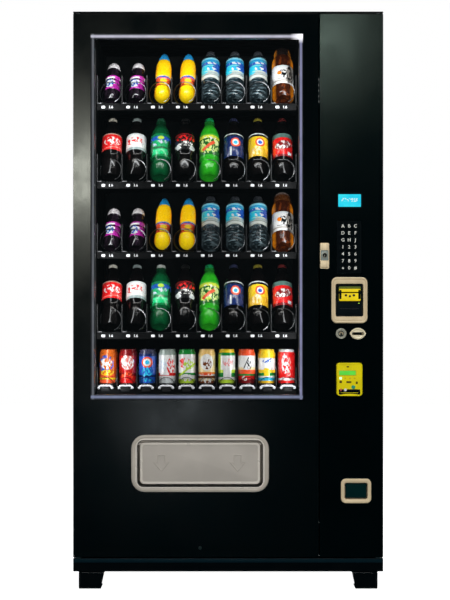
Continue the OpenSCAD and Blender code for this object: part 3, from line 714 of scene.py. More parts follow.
# Profiles are (radius, height) points in mm from the middle of the base to the top. "label" is the
# heights between which the print shows, "cap" is where the cap starts, and "tall" stretches the height.
SODA_BASE = [(4, 8), (12, 6), (19, 2), (24, 0), (28.5, 2.5), (32, 9), (33.4, 19), (33.4, 34)]
SODA_TOP = [(33.5, 94), (33.5, 158), (33.0, 162), (31.5, 170), (27, 184), (20.5, 198), (14.8, 209),
            (13.2, 214), (13.2, 217), (16.5, 218), (16.5, 220), (13.2, 221), (14.6, 221.5),
            (14.8, 223), (14.8, 231), (13.6, 233.5), (4, 234)]
SODA = {"profile": SODA_BASE + [(32.4, 44), (29.8, 53), (29.6, 58), (32.2, 65), (33.5, 67)] + SODA_TOP,
        "label": (67, 158), "cap": 221.5, "radius": 33.5, "lobes": 5, "lobe_depth": 2.2, "tall": 1.0}
SODA_SHORT = dict(SODA, label=(94, 158),
                  profile=SODA_BASE + [(33.2, 50), (32, 62), (29.2, 73), (28.4, 80), (30, 88)] + SODA_TOP)
SMALL = {"profile": [(4, 5), (10, 4), (16, 1.5), (20, 0), (23.5, 2), (25.6, 8), (26, 14), (26, 24),
                     (24.8, 28), (26.3, 31), (26.3, 60), (24.6, 63), (24.8, 66), (26, 68), (25.6, 75),
                     (23.4, 82), (20, 89), (19.4, 93), (20.6, 95), (19.2, 98), (19, 103),
                     (20.8, 104.5), (21.2, 108), (20.2, 114), (17.2, 120.5), (12, 125.5),
                     (6, 127.6), (2, 128)],
         "label": (31, 75), "cap": 104.5, "radius": 26, "lobes": 5, "lobe_depth": 2.5, "tall": 1.21}
JUICY = {"profile": [(3, 0), (9, 1.4), (16, 5), (21.5, 11), (25.2, 18), (26.6, 26), (26.4, 36),
                     (25.6, 46), (24, 54), (23, 62), (22.8, 68), (24, 76), (25.4, 86), (26, 94),
                     (26, 106), (25.4, 124), (23.4, 140), (20.2, 150), (19.2, 151), (19.2, 154),
                     (17.2, 162), (13.2, 171.5), (8.6, 179), (4, 183.5), (1.5, 184)],
         "label": (46, 92), "cap": 151, "radius": 27, "lobes": 0, "lobe_depth": 0, "tall": 1.07}
WATER = {"profile": [(3, 7), (9, 6), (12, 2), (16, 1), (19, 4), (22, 1.2), (26.5, 2.5), (29.2, 8),
                     (30, 15), (28.7, 18), (30, 21), (30, 29), (28.7, 32), (30, 35), (30, 43),
                     (28.7, 46), (30, 49), (30, 58), (28.8, 61), (30, 64), (30.3, 70), (30.3, 148),
                     (29.4, 153), (25, 161), (18, 168), (14.2, 171), (15, 172), (15.2, 174),
                     (15.2, 181.5), (13.8, 184), (4, 184.4)],
         "label": (70, 148), "cap": 172, "radius": 30, "lobes": 0, "lobe_depth": 0, "tall": 1.065}
TEA = {"profile": [(4, 8), (14, 6), (22, 1), (29, 0), (33.6, 4), (35.4, 12), (34.4, 20), (34.4, 30),
                   (35.8, 42), (35.8, 110), (35, 113), (33.4, 116), (35, 121), (35.4, 130), (34.2, 139),
                   (31.5, 148), (28.4, 153), (27.4, 156), (28, 158), (27.4, 172), (24.4, 183),
                   (18, 189.4), (4, 190.4)],
       "label": (42, 110), "cap": 156, "radius": 35.8, "lobes": 6, "lobe_depth": 3, "tall": 1.085}
CAN = {"profile": [(4, 9), (12, 7), (18, 4), (21, 0), (22.6, 0.4), (26.6, 5.5), (28.0, 10), (28.3, 14),
                   (28.3, 104), (27.6, 108), (25, 114.5), (24.6, 116), (25.3, 117.5), (25.3, 119.5),
                   (24.4, 120), (23.8, 119), (23.4, 117.4), (4, 117.2)],
       "label": (10, 119.5), "cap": 119.5, "radius": 28.3, "lobes": 0, "lobe_depth": 0, "tall": 1.0}


def blob(x, z, w, h, colour, turn=0):
    return ("blots", x, z, w, h, turn, colour)


def oval(x, z, w, h, colour, turn=0):
    return ("oval", x, z, w, h, turn, colour)


def ring(x, z, w, h, colour):
    return ("ring", x, z, w, h, 0, colour)


def bar(x, z, w, h, colour, turn=0):
    return ("bar", x, z, w, h, turn, colour)


def drink(name, form, liquid, cap, label, marks, **place):
    """A bottle. cap is a colour, or a material of its own. place may give its shift and tilt."""
    cap_look = cap_plastic(name + "_cap", cap) if isinstance(cap, tuple) else cap
    return {"form": form, "drink": liquid, "cap": cap_look,
            "print": printed(name + "_label", label, marks), **place}


def soda(name, liquid, label, marks, cap, form=SODA):
    return drink(name, form, liquid, cap, label, marks)


def build_goods():
    """What stands in each lane, from left to right, top tray first."""
    plum = drink("plum", SMALL, PLUM, (0.80, 0.76, 0.77),
        [(31, MAGENTA), (60, PLUM_DARK), (66, WHITE), (71, MAGENTA)],
        [oval(-12, 50, 34, 26, BLUE), blob(-8, 48, 34, 24, SILVER), blob(-4, 54, 30, 12, WHITE),
         # Painted shade: the dark oval at the left edge of the label.
         oval(-26, 46, 14, 30, PLUM_DARK), oval(15, 68, 16, 10, MAGENTA)], shift=1, tilt=2.5)
    juice = drink("juice", JUICY, JUICE, (0.02, 0.40, 0.88),
        [(46, CORAL), (79, BLUE), (83, CREAM), (86, CORAL)],
        [oval(4, 54, 30, 12, YELLOW_INK), oval(2, 68, 24, 13, YELLOW_INK), blob(4, 81, 40, 7, BLUE),
         bar(2, 61, 30, 2, (0.75, 0.2, 0.02)), bar(0, 75, 24, 2, (0.6, 0.3, 0.5)),
         oval(3, 90, 34, 9, YELLOW_INK)], shift=6, tilt=2)
    water = drink("water", WATER, CLEAR, (0.05, 0.055, 0.065),
        [(70, (0.66, 0.68, 0.62)), (82, (0.46, 0.52, 0.50)), (98, SKY), (122, (0.02, 0.12, 0.60)),
         (132, SKY), (142, (0.30, 0.74, 0.92))],
        [oval(-20, 104, 26, 34, (0.02, 0.70, 0.90)), oval(19, 112, 24, 30, BLUE),
         bar(0, 84, 60, 2, (0.20, 0.22, 0.18)), bar(0, 90, 60, 1.6, (0.26, 0.32, 0.32)),
         bar(2, 97, 44, 2.4, (0.72, 0.76, 0.50)), blob(2, 106, 34, 12, WHITE),
         bar(-4, 118, 40, 2, (0.3, 0.8, 0.6)), blob(0, 128, 40, 9, WHITE),
         bar(0, 138, 46, 2, (0.02, 0.2, 0.7)), oval(0, 66, 50, 14, (0.10, 0.12, 0.12))], shift=4)
    tea_label = [(42, WHITE), (50, (0.45, 0.42, 0.38)), (56, WHITE), (105, SILVER)]
    tea_marks = [oval(22, 74, 20, 72, SOOT), blob(21, 74, 26, 72, (0.30, 0.27, 0.24)),
        oval(-12, 82, 13, 15, ORANGE, 30), bar(-7, 89, 3, 9, SOOT, -30), blob(3, 78, 18, 30, SOOT),
        bar(-2, 60, 36, 2, SOOT)]
    # Painted light: the cap's glow and the orange at its sides.
    tea_cap = bottle_plastic("tea_cap", (0.012, 0.007, 0.006), 0.2, (0.2, 0.3),
                             edge=((0.75, 0.24, 0.01), 17, 27))
    tea = drink("tea", TEA, AMBER, tea_cap, tea_label, tea_marks)
    # Painted highlight: the white top of this brown cap.
    highlit_tea_cap = bottle_plastic("tea_cap_painted_highlight", (0.10, 0.03, 0.006), 0.2, (0.2, 0.3),
                               streak=(0.75, 0.72, 0.70), above=188)
    tea_with_highlit_cap = dict(tea, cap=highlit_tea_cap)
    small_row = [plum, plum, juice, juice, water, water, dict(water, shift=0)]
    sodas = [
        soda("red", COLA, [(94, RED), (154, (0.5, 0.3, 0.25))],
            [blob(2, 128, 54, 34, WHITE), bar(0, 103, 70, 3, (0.9, 0.25, 0.2), 6)],
            (0.80, 0.76, 0.64), SODA_SHORT),
        soda("silver", COLA, [(94, (0.35, 0.45, 0.45)), (104, WHITE), (152, SILVER)],
            [blob(-2, 128, 58, 32, RED), blob(6, 118, 50, 12, SILVER)], (0.34, 0.40, 0.40), SODA_SHORT),
        soda("lemon", LEAF, [(67, (0.004, 0.22, 0.06)), (76, (0.01, 0.55, 0.18)),
            (98, (0.006, 0.16, 0.05)), (106, (0.01, 0.42, 0.14)), (132, BLUE),
            (148, (0.006, 0.20, 0.07))],
            [blob(0, 122, 54, 18, (0.70, 0.70, 0.92), 18), oval(2, 141, 22, 14, LIME),
             bar(0, 92, 60, 5, (0.03, 0.75, 0.30)), blob(0, 84, 50, 20, (0.02, 0.66, 0.24)),
             # Painted shade: the dark green ovals at both edges of the label.
             oval(-29, 104, 10, 70, (0.002, 0.08, 0.02)), oval(29, 104, 10, 70, (0.002, 0.08, 0.02))],
            (0.02, 0.12, 0.06)),
        soda("black", COLA, [(94, SOOT), (154, DARK_RED)],
            [blob(2, 140, 60, 24, RED), blob(4, 118, 50, 18, WHITE), bar(-22, 106, 14, 20, SILVER, 30),
             bar(24, 104, 14, 18, SILVER, -20)], (0.012, 0.012, 0.012), SODA_SHORT),
        soda("lime", BRIGHT, [(67, (0.03, 0.40, 0.02)), (74, (0.010, 0.13, 0.012)),
            (140, (0.70, 0.80, 0.06)), (152, (0.06, 0.45, 0.03))],
            [blob(0, 112, 66, 66, (0.72, 0.88, 0.30)), oval(-2, 92, 20, 12, LIME),
             oval(24, 126, 14, 22, (0.80, 0.90, 0.40)), oval(-22, 98, 14, 20, (0.60, 0.80, 0.08)),
             bar(-2, 110, 52, 11, CORAL, 40), blob(0, 140, 44, 12, WHITE)], (0.01, 0.40, 0.12)),
        soda("navy", COLA, [(67, NAVY), (148, SOOT), (154, SILVER)],
            [oval(6, 123, 32, 36, WHITE), ring(6, 123, 32, 36, CORAL), oval(6, 122, 13, 14, SKY),
             bar(-10, 88, 6, 34, SILVER)], (0.03, 0.035, 0.09)),
        soda("gold", COLA, [(67, GOLD), (100, YELLOW_INK), (146, SOOT), (154, SILVER)],
            [oval(6, 123, 32, 36, WHITE), ring(6, 123, 32, 36, CORAL), oval(6, 122, 13, 14, BLUE),
             blob(-4, 90, 34, 36, CREAM)], (0.32, 0.27, 0.03)),
        soda("ruby", COLA, [(67, DARK_RED), (76, RED), (142, (0.10, 0.20, 0.18))],
            [oval(2, 113, 52, 34, DARK_RED, 14), blob(2, 113, 56, 32, WHITE, 14),
             bar(22, 80, 12, 12, SILVER)], (0.16, 0.02, 0.02)),
    ]
    cans = [
        can("orange", [(10, CORAL), (22, YELLOW_INK), (28, CORAL), (40, AMBER_INK), (96, AMBER_INK)],
            [blob(-4, 72, 48, 60, BLUE), blob(-4, 74, 40, 34, WHITE), blob(0, 44, 44, 20, YELLOW_INK)]),
        can("red", [(10, RED), (34, DARK_RED), (44, (0.50, 0.010, 0.010)), (100, DARK_RED)],
            [oval(2, 76, 40, 46, (0.70, 0.20, 0.17)), blob(0, 78, 44, 46, WHITE),
             blob(0, 34, 40, 24, CORAL)]),
        can("blue", [(10, BLUE), (30, NAVY), (36, BLUE), (98, NAVY), (106, (0.05, 0.05, 0.10))],
            [oval(0, 78, 36, 36, WHITE), ring(0, 78, 36, 36, CORAL), oval(0, 78, 14, 14, SKY),
             blob(0, 46, 34, 34, SKY), blob(0, 22, 30, 16, SKY)]),
        can("white", [(10, SILVER), (26, WHITE), (34, RED), (44, WHITE), (102, (0.35, 0.42, 0.38))],
            [blob(12, 66, 26, 52, RED), blob(-10, 70, 22, 40, (0.6, 0.7, 0.8)),
             bar(-8, 40, 30, 8, WHITE)]),
        can("garden", [(10, LIME), (24, WHITE), (36, GREEN), (44, WHITE), (104, GREEN)],
            [blob(-6, 76, 40, 34, RED), blob(6, 70, 34, 30, LIME), bar(0, 54, 70, 6, LIME, 38),
             blob(0, 28, 40, 24, WHITE)]),
        can("cream", [(10, BROWN), (18, CREAM), (26, BROWN), (34, WHITE), (40, ORANGE), (46, CREAM),
            (100, (0.95, 0.62, 0.20))],
            [oval(0, 78, 42, 54, WHITE), blob(2, 72, 30, 34, BROWN), blob(0, 40, 44, 10, CORAL),
             blob(0, 20, 40, 20, WHITE)]),
        can("mint", [(10, LIME), (22, WHITE), (30, GREEN), (44, LIME), (54, WHITE), (100, GREEN),
            (110, YELLOW_INK)],
            [blob(4, 78, 34, 26, (0.90, 0.35, 0.35)), bar(2, 44, 26, 34, WHITE),
             bar(-24, 80, 8, 50, LIME)]),
        can("peach", [(10, DARK_RED), (22, RED), (34, GREEN), (40, CORAL), (54, CREAM), (62, WHITE),
            (100, CORAL)],
            [oval(0, 76, 38, 46, WHITE), bar(-2, 76, 3, 40, SOOT, -24), blob(8, 70, 16, 30, SOOT),
             blob(-6, 26, 20, 16, WHITE)]),
        can("sunny", [(10, GOLD), (18, SKY), (28, WHITE), (34, GREEN), (44, YELLOW_INK), (54, WHITE),
            (92, YELLOW_INK)],
            [oval(0, 76, 40, 34, WHITE), bar(4, 84, 26, 4, BLUE, 32), blob(0, 82, 28, 12, BLUE),
             bar(0, 46, 18, 26, YELLOW_INK)]),
        can("scarlet", [(10, RED), (20, WHITE), (26, RED), (112, SILVER)],
            [blob(-6, 74, 22, 66, WHITE), blob(8, 60, 12, 70, (0.9, 0.5, 0.45)),
             blob(0, 24, 44, 12, WHITE)]),
    ]
    low_sodas = list(sodas)
    low_sodas[0] = dict(sodas[0], cap=cap_plastic("cream_cap", (0.90, 0.86, 0.76)))
    low_sodas[2] = dict(sodas[2], cap=cap_plastic("pale_cap", (0.80, 0.84, 0.80)))
    return [small_row + [tea], sodas, small_row + [tea_with_highlit_cap], low_sodas, cans]


LID = finish("can_lid", (0.62, 0.62, 0.61), (0.2, 0.35), metallic=1.0, grain=90.0, attribute="spot")


def can(name, label, marks):
    look = printed(name + "_can", label, marks, rough=0.26, coat=0.3, metallic=0.12)
    return {"form": CAN, "drink": LID, "print": look, "cap": LID}


DRINK, PRINT, CAP_PART = 0, 1, 2


def bottle(good, name, tray, x, heel_y, floor, lean):
    """One bottle or can, leaning back, with the back edge of its base on the tray."""
    form = good["form"]
    profile, radius = form["profile"], form["radius"]
    kinds = []
    for (_, low), (_, high) in zip(profile, profile[1:]):
        if low >= form["cap"]:
            kinds.append(CAP_PART)
        elif low >= form["label"][0] and high <= form["label"][1]:
            kinds.append(PRINT)
        else:
            kinds.append(DRINK)
    place = (Matrix.Translation((x + good.get("shift", 0), heel_y, floor + 1.5))
             @ Matrix.Rotation(math.radians(good.get("tilt", 0)), 4, "Y") @ Matrix.Rotation(-lean, 4, "X")
             @ Matrix.Translation((0, -0.86 * radius, 0)) @ Matrix.Diagonal((1, 1, form["tall"], 1)))
    shape = Shape()
    shape.turned(profile, place, 40, kinds, form["lobes"], form["lobe_depth"], lobe_at=24)
    shape.make(name, tray, "goods", [good["drink"], good["print"], good["cap"]], 50, spots=True)


# ---------------------------------------------------------------- trays

BOTTLE_LANES, CAN_LANES = 8, 10
DIVIDER_THICK = 1.5

def lane_edges(tray):
    """x of each divider's middle, in mm."""
    lo, hi = box_mm(tray)
    count = CAN_LANES if tray == TRAYS[-1] else BOTTLE_LANES
    pitch = (hi.x - lo.x - DIVIDER_THICK) / count
    return [lo.x + DIVIDER_THICK / 2 + i * pitch for i in range(count + 1)]


LABEL_RAIL = 21.0
SPIRAL_LIFT = 4.5
COUPLER = 14
TAG_DROP = 11
CLIP_SPREAD = 1.018
CAN_DRIFT = 3.2
CAN_GAP = 62
# start is where each spiral begins and lean how far the goods lean back, in degrees, and heel is how
# far behind the spiral's front a product's base ends.
FITTINGS = {"bottle": {"radius": 36.8, "wire": 1.7, "pitch": 106.5, "start": 155, "heel": 70, "lean": 30},
            "can": {"radius": 30.0, "wire": 1.4, "pitch": 124.0, "start": 180,
                    "heel": 31 + 0.9 * CAN["radius"], "lean": 3}}


def coil_path(x, z, radius, y0, y1, pitch, start):
    """Wire round an axis along Y. start is the angle from the top of the first point, in degrees."""
    count = int(24 * (y1 - y0) / pitch)
    path = []
    for i in range(count + 1):
        y = y0 + (y1 - y0) * i / count
        a = math.radians(start) - 2 * math.pi * (y - y0) / pitch
        path.append((x + radius * math.sin(a), y, z + radius * math.cos(a)))
    return path


def build_tray(index, goods):
    tray = TRAYS[index]
    lo, hi = box_mm(tray)
    floor = lo.z + LABEL_RAIL
    edges = lane_edges(tray)
    is_can = tray == TRAYS[-1]
    fit = FITTINGS["can" if is_can else "bottle"]
    radius, lean = fit["radius"], math.radians(fit["lean"])
    spiral_lo, spiral_hi = box_mm(f"spirals_{index + 1}")
    y0, y1 = spiral_lo.y + fit["wire"], spiral_hi.y - COUPLER
    heel, z = y0 + fit["heel"], floor + radius + SPIRAL_LIFT
    middle = (edges[0] + edges[-1]) / 2
    wires, tags, clips = Shape(), Shape(), Shape()
    for lane, (left, right) in enumerate(zip(edges, edges[1:])):
        x = (left + right) / 2
        path = coil_path(x, z, radius, y0, y1, fit["pitch"], fit["start"])
        path += [(x, path[-1][1] + onward, z) for onward in (4, 12)]
        wires.tube(path, fit["wire"])
        wires.knob(x, z, [(9, y1 + 13), (9, y1 + 9), (radius - 9, y1 + 8.6), (radius - 8, y1 + 7),
                          (radius - 10, y1 + 5), (6, y1 + 4)], 1)
        name = f"goods_{index + 1}_{lane + 1}"
        if is_can:
            add_clip(clips, middle + (x - middle) * CLIP_SPREAD, lo.y, floor)
            x += CAN_DRIFT * max(0.0, (x - middle) / (edges[-1] - middle))
            bottle(goods[lane], f"{name}_behind", tray, x, heel + CAN_GAP, floor, lean)
        else:
            tags.slab(left + 20, floor - TAG_DROP, 12.5, 8.6, 3, lo.y - 1.2, lo.y, 0.3)
            glyph_shape(tags, "1.6", 12, left + 44.5, lo.y - 0.1, floor - TAG_DROP)
        bottle(goods[lane], name, tray, x, heel, floor, lean)
    piece = wires.make(f"spiral_wires_{index + 1}", tray, "spiral_wire", [WIRE, TRAY])
    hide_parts(f"spirals_{index + 1}")
    if is_can:
        clips.make("can_clips", tray, "clip_white", [CLIP, DIVIDER, TRAY])
    else:
        tags.make(f"price_tags_{index + 1}", tray, "tag_white", [PRICE_TAG_PAINTED_GLOW])
    build_dividers(index, tray, edges, floor, lo, hi)


def add_clip(shape, x, front, floor):
    """Can guard on the front edge: a flat bar with a ball at each end, and its holder below."""
    half, top, y = 21.5, floor + 6.5, front - 4.5
    path = [(x - half, y, floor + 0.5), (x - half + 3, y, top - 1.5), (x - half + 9, y, top),
            (x + half - 9, y, top), (x + half - 3, y, top - 1.5), (x + half, y, floor + 0.5)]
    shape.tube(bent(path, 6, 3), 3.6, 8, 0)
    for side in (-1, 1):
        shape.knob(x + side * half, floor, [(0.4, front + 1), (4.0, front - 0.5), (5.2, front - 4),
                                            (4.0, front - 7.5), (0.4, front - 9)], 0, 16)
    shape.slab(x, floor - 6, 28, 13, 3, front - 3.2, front, 0.5, 1)
    arch = [(x + 27 * math.sin(a), front + 6, floor + 6 + 28 * math.cos(a))
            for a in (math.radians(d) for d in range(-96, 97, 12))]
    shape.tube(arch, 1.1, 6, 2)


def build_dividers(index, tray, edges, floor, lo, hi):
    """Folded front edges and feet of the dividers, and the rolled front edge of the pan."""
    shape = Shape()
    for i, x in enumerate(edges):
        shape.box((x - 1.6, lo.y + 1.2, floor + 0.6), (x + 1.6, lo.y + 4.2, hi.z), 0, 0.5)
        if i < len(edges) - 1 and tray != TRAYS[-1]:
            shape.box((x + 1.4, lo.y + 0.4, floor + 0.8), (x + 15, lo.y + 3.6, floor + 3.6), 1, 0.6)
    shape.box((lo.x, lo.y, floor - 1.6), (hi.x, lo.y + 1.6, floor + 1.0))
    shape.make(f"divider_edges_{index + 1}", tray, "tray_steel", [DIVIDER, TAB])


# ---------------------------------------------------------------- glass door

def add_bin(shape, reach, drop, rise, start, back, wall=3):
    """Floor, sides and back of a bin round the shape's middle, from the depth start to back."""
    shape.box((-reach - wall, start, -drop - wall), (reach + wall, back, -drop))
    for left in (-reach - wall, reach):
        shape.box((left, start, 0.5 - drop), (left + wall, back, rise))
    shape.box((0.5 - reach, back - wall, 0.5 - drop), (reach - 0.5, back, rise))


def build_delivery_port():
    x, z, w, h, front, back = front_of("delivery_port")
    face = box_mm("door_frame")[0].y
    lip = front - face
    open_w, open_h = 394.0, 144.0
    shape = Shape(x, face, z)
    # Bands six to eight, the inner rim, take the lighter champagne: a painted highlight.
    shape.ring([
        (w, h, 43, 0), (w, h, 43, lip + 5), (w - 2, h - 2, 42, lip + 2.4), (w - 8, h - 8, 39, lip + 0.5),
        (w - 15, h - 15, 36, lip), (w - 22, h - 19, 32, lip + 0.6), (w - 25, h - 21, 30, lip + 1.8),
        (open_w + 12, open_h + 12, 24, lip + 0.6), (open_w + 7, open_h + 7, 21, lip + 0.2),
        (open_w + 4, open_h + 4, 19.5, lip + 1.0), (open_w + 1, open_h + 1, 18.5, lip + 4),
        (open_w + 1, open_h + 1, 18.5, 0)], [0, 0, 0, 0, 0, 0, 2, 2, 2, 1, 1, 0])
    shape.frame(0, 0, (open_w + 6, open_h + 6, 21), (open_w, open_h, 18), 0, 60.2, 0.3, kind=1)
    add_bin(shape, open_w / 2, open_h / 2, open_h / 2 + 8, 60.5, back - face)
    finishes = [CHAMPAGNE, BLACK_PLASTIC, RIM_PAINTED_HIGHLIGHT]
    piece = shape.make("delivery_bezel", "glass_door", "champagne_bezel", finishes, 30)
    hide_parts("delivery_port")

    x, z, _, h, _, _ = front_of("delivery_flap")
    w = open_w - 14
    flap = Shape(x, face, z)
    flap.slab(0, 0, w, h, 14, 2, 8, 0.8)
    # The flap's raised rim takes the same painted highlight.
    flap.frame(0, 0, (w, h, 14), (w - 15, h - 15, 7), 0.5, 2.6, 1.2, kind=1)
    for offset in (-123, 119):
        add_arrow(flap, offset, 1, 2)
    pin_z = open_h / 2 - 11
    for side in (-1, 1):
        flap.tube([(side * (w / 2 - 12), 6, pin_z), (side * (w / 2 + 9.5), 6, pin_z)], 3, 16)
    piece = flap.make("delivery_flap_panel", "delivery_flap", "champagne_bezel", [FLAP, RIM_PAINTED_HIGHLIGHT], 30)
    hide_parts("delivery_flap")


def add_arrow(shape, x, z, y):
    """Down arrow pressed into the flap: a raised outline round a flat middle."""
    outline = [(-12, 28), (12, 28), (12, 2), (26, 2), (0, -28), (-26, 2), (-12, 2)]
    loops = []
    for scale, lift in ((1.0, 0.0), (0.95, 1.3), (0.84, 1.3), (0.79, 0.2)):
        loops.append([(px * scale, y - lift, pz * scale + (1 - scale) * 3) for px, pz in outline][::-1])
    shape.loft(loops, 0, caps=(False, True), matrix=Matrix.Translation((x, 0, z)))


def build_door_details():
    """Screw on the lower panel, and the lamp channels beside the window."""
    lo, hi = box_mm("door_frame")
    trim_lo, trim_hi = box_mm("window_trim")
    screw = Shape()
    add_screw(screw, front_of("delivery_port")[0], 130, lo.y, 5.5)
    screw.make("door_screw", "glass_door", "pin_steel", [DARK_SCREW])
    lamps = Shape()
    y0, y1, width = trim_hi.y + 23.5, hi.y - 0.5, 10
    for x, inner, side in ((trim_lo.x + 0.5, width, 1), (trim_hi.x - width - 0.5, 0, -1)):
        lamps.box((x, y0, trim_lo.z + 20), (x + width, y1, trim_hi.z - 20))
        a, b = sorted((x + inner, x + inner + side * 1.2))
        lamps.box((a, y0 + 4, trim_lo.z + 40), (b, y1 - 4, trim_hi.z - 40), 1)
    lamps.make("lamp_channels", "glass_door", "grey_steel", [BLACK_PLASTIC, LED_STRIP])


def add_screw(shape, x, z, y, r, kind=0):
    """Pan head against a face at y that looks to -Y, with a cross recess."""
    shape.knob(x, z, [(r, y), (r, y - 0.25 * r), (0.8 * r, y - 0.5 * r), (0.4 * r, y - 0.62 * r),
                      (0.1 * r, y - 0.65 * r)], kind, 20)


# ---------------------------------------------------------------- control door

def build_display():
    x, z, _, _, face, _ = front_of("display")
    shape = Shape(x, face, z)
    shape.frame(0, 0, (83, 53, 4), (71.6, 39.6, 1.5), -1.8, -0.1, 0.7)
    shape.make("display_bezel", "control_door", "keypad_black", [GLOSS_BLACK])


def build_key_glyphs():
    for name in KEYS:
        x, z, _, _, face, _ = front_of(f"key_{name}")
        label = {"star": "*", "hash": "#"}.get(name, name.upper())
        drop = -3.4 if name == "star" else 0.0
        shape = Shape()
        glyph_shape(shape, label, 14.5, x, face - 0.05, z + drop)
        shape.make(f"key_mark_{name}", f"key_{name}", "tag_white", [GLYPH])


def build_lock():
    """T-handle: two pads joined by a waist, with a key cylinder in the middle."""
    x, z, _, _, face, _ = front_of("lock_plate")
    shape = Shape(x, face, z)
    for middle in (28, -26):
        shape.slab(0, middle, 26, 22, 3.5, -7, -0.4, 1.6)
        shape.slab(0, middle, 17, 13, 2.5, -7.8, -6.8, 0.6)
    shape.slab(0, 1, 25, 32, 3, -5, -0.4, 1.2, 3)
    shape.knob(0, 1.5, [(9, -4.5), (9, -8.4), (8.2, -9.4), (7, -9.8), (6.7, -9.0), (0.5, -8.8)],
               [1, 1, 1, 1, 2])
    shape.slab(0, -0.5, 1.6, 7, 0.7, -9.4, -8.6, 0.2, 1)
    shape.knob(0, 0, [(7.8, 44), (7.8, -0.5)], 1)
    shape.box((-8, 44, -8), (8, 48, 30), 1, 1)
    finishes = [PLATE, CHROME, GLOSS_BLACK, WAIST]
    piece = shape.make("lock_handle", "latch_handle", "champagne_plate", finishes, 30)
    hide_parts("latch_handle")


def build_bill_acceptor():
    x, z, w, h, front, back = front_of("bill_bezel")
    deep = back - front
    bezel = Shape(x, front, z)
    bezel.ring([
        (w, h, 18, deep), (w, h, 18, 3.5), (w - 1.6, h - 1.6, 17.2, 1.6), (w - 5, h - 5, 16, 0.3),
        (w - 9, h - 9, 14, 0), (w - 12, h - 13, 12, 1.0), (w - 14, h - 15, 11, 2.2),
        (w - 16, h - 17, 10, 1.2), (w - 20, h - 24, 8, 0.8), (w - 26, h - 41, 6, 2.4),
        (w - 28, h - 43, 5, 5), (84.2, 100, 5, deep)], [0] * 10 + [1, 0])
    piece = bezel.make("bill_bezel_moulding", "control_door", "beige_bezel", [BEIGE, BLACK_PLASTIC], 30)
    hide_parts("bill_bezel")

    unit = Shape(x, back - 1.5, z)
    mouth, slot, half, tail = 1.5, 24, 49.2, 119.5
    for top, foot in ((half, slot + 1.6), (slot - 1.6, -half)):
        unit.box((-41.5, 0, foot), (41.5, tail, top), 0, 0.8)
    unit.box((-41, tail - 9, slot - 1.5), (41, tail, slot + 1.5), 0, 0.2)
    unit.slab(mouth, slot + 7, 68, 10, 3, -5.5, 0.3, 2.2, 1)
    unit.slab(mouth, 38.5, 70, 10, 4, -3.5, 0.3, 1.5, 2)
    unit.slab(mouth, 9.95, 68, 24.9, 4, -5.5, 0.3, 2.2, 1)
    for side in (-1, 1):
        unit.slab(mouth + side * 30, 18, 7, 29, 2, -7, -5, 0.6)
        unit.slab(mouth + side * 12.5, 15.5, 8, 7, 3, -6.3, -5.2, 0.4, 3)
    unit.slab(mouth, 12.5, 7, 7, 3, -6.3, -5.2, 0.4, 3)
    unit.slab(0, -27, 78, 34, 6, -3.2, 0.3, 1.6)
    unit.slab(0, -27, 62, 1.5, 0.7, -3.8, -3.0, 0.3, 3)
    unit.knob(30.5, -12.2, [(3.4, 0.2), (3.4, -1.2), (2.6, -2.0), (0.4, -2.3)], 4, 20)
    finishes = [GLOSS_BLACK, MOUTH, MOUTH_DIM, INK, GREEN_LED]
    piece = unit.make("bill_acceptor_unit", "control_door", "validator_yellow", finishes, 30)
    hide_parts("bill_validator")


def build_coin_parts():
    x, z, w, _, front, back = front_of("coin_button")
    r = w / 2
    button = Shape(x, front, z)
    button.knob(0, 0, [(7, back - front), (7, 10), (r - 1.6, 9.8), (r - 0.3, 8), (r, 4), (r - 1, 1.4),
                       (r - 2.6, 0.4), (r - 4.4, 1.2), (r - 5.4, 4.4)], 0, 40)
    button.knob(0, 0, [(r - 5.4, 5), (r - 6, 4.6), (r - 7.6, 4.4), (r - 8.2, 2.6), (r - 9, 1.8),
                       (0.5, 1.5)], 1)
    turns = [math.radians(a) for a in range(-40, 231, 18)]
    button.tube([(5 * math.cos(a), 1.4, 5 * math.sin(a)) for a in turns], 1.0, 6, 2)
    piece = button.make("coin_button_cap", "coin_button", "button_metal", [CHROME, SCREW, PLATE], 30)
    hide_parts("coin_button")

    lo, hi = box_mm("coin_mechanism")
    w, h = 51.5, 35.8
    rim = Shape(hi.x - w / 2, lo.y, hi.z - h / 2)
    rim.ring([(w - 4, h - 4, 0, 0.2), (w - 5, h - 5, 0, -1.4), (w - 8, h - 7, 0, -2.0),
              (w - 10, h - 10, 0, -1.0), (w - 12, h - 14, 0, 0.2)],
             outline=lambda w, h, r, y: lens_loop(w, h, y))
    rim.frame(0, 0, (37, 9, 3), (32.5, 5.6, 1.8), -0.9, 0.2, 0.4, kind=1)
    rim.make("coin_slot_rim", "control_door", "coin_metal", [COIN, BLACK_PLASTIC], 30)


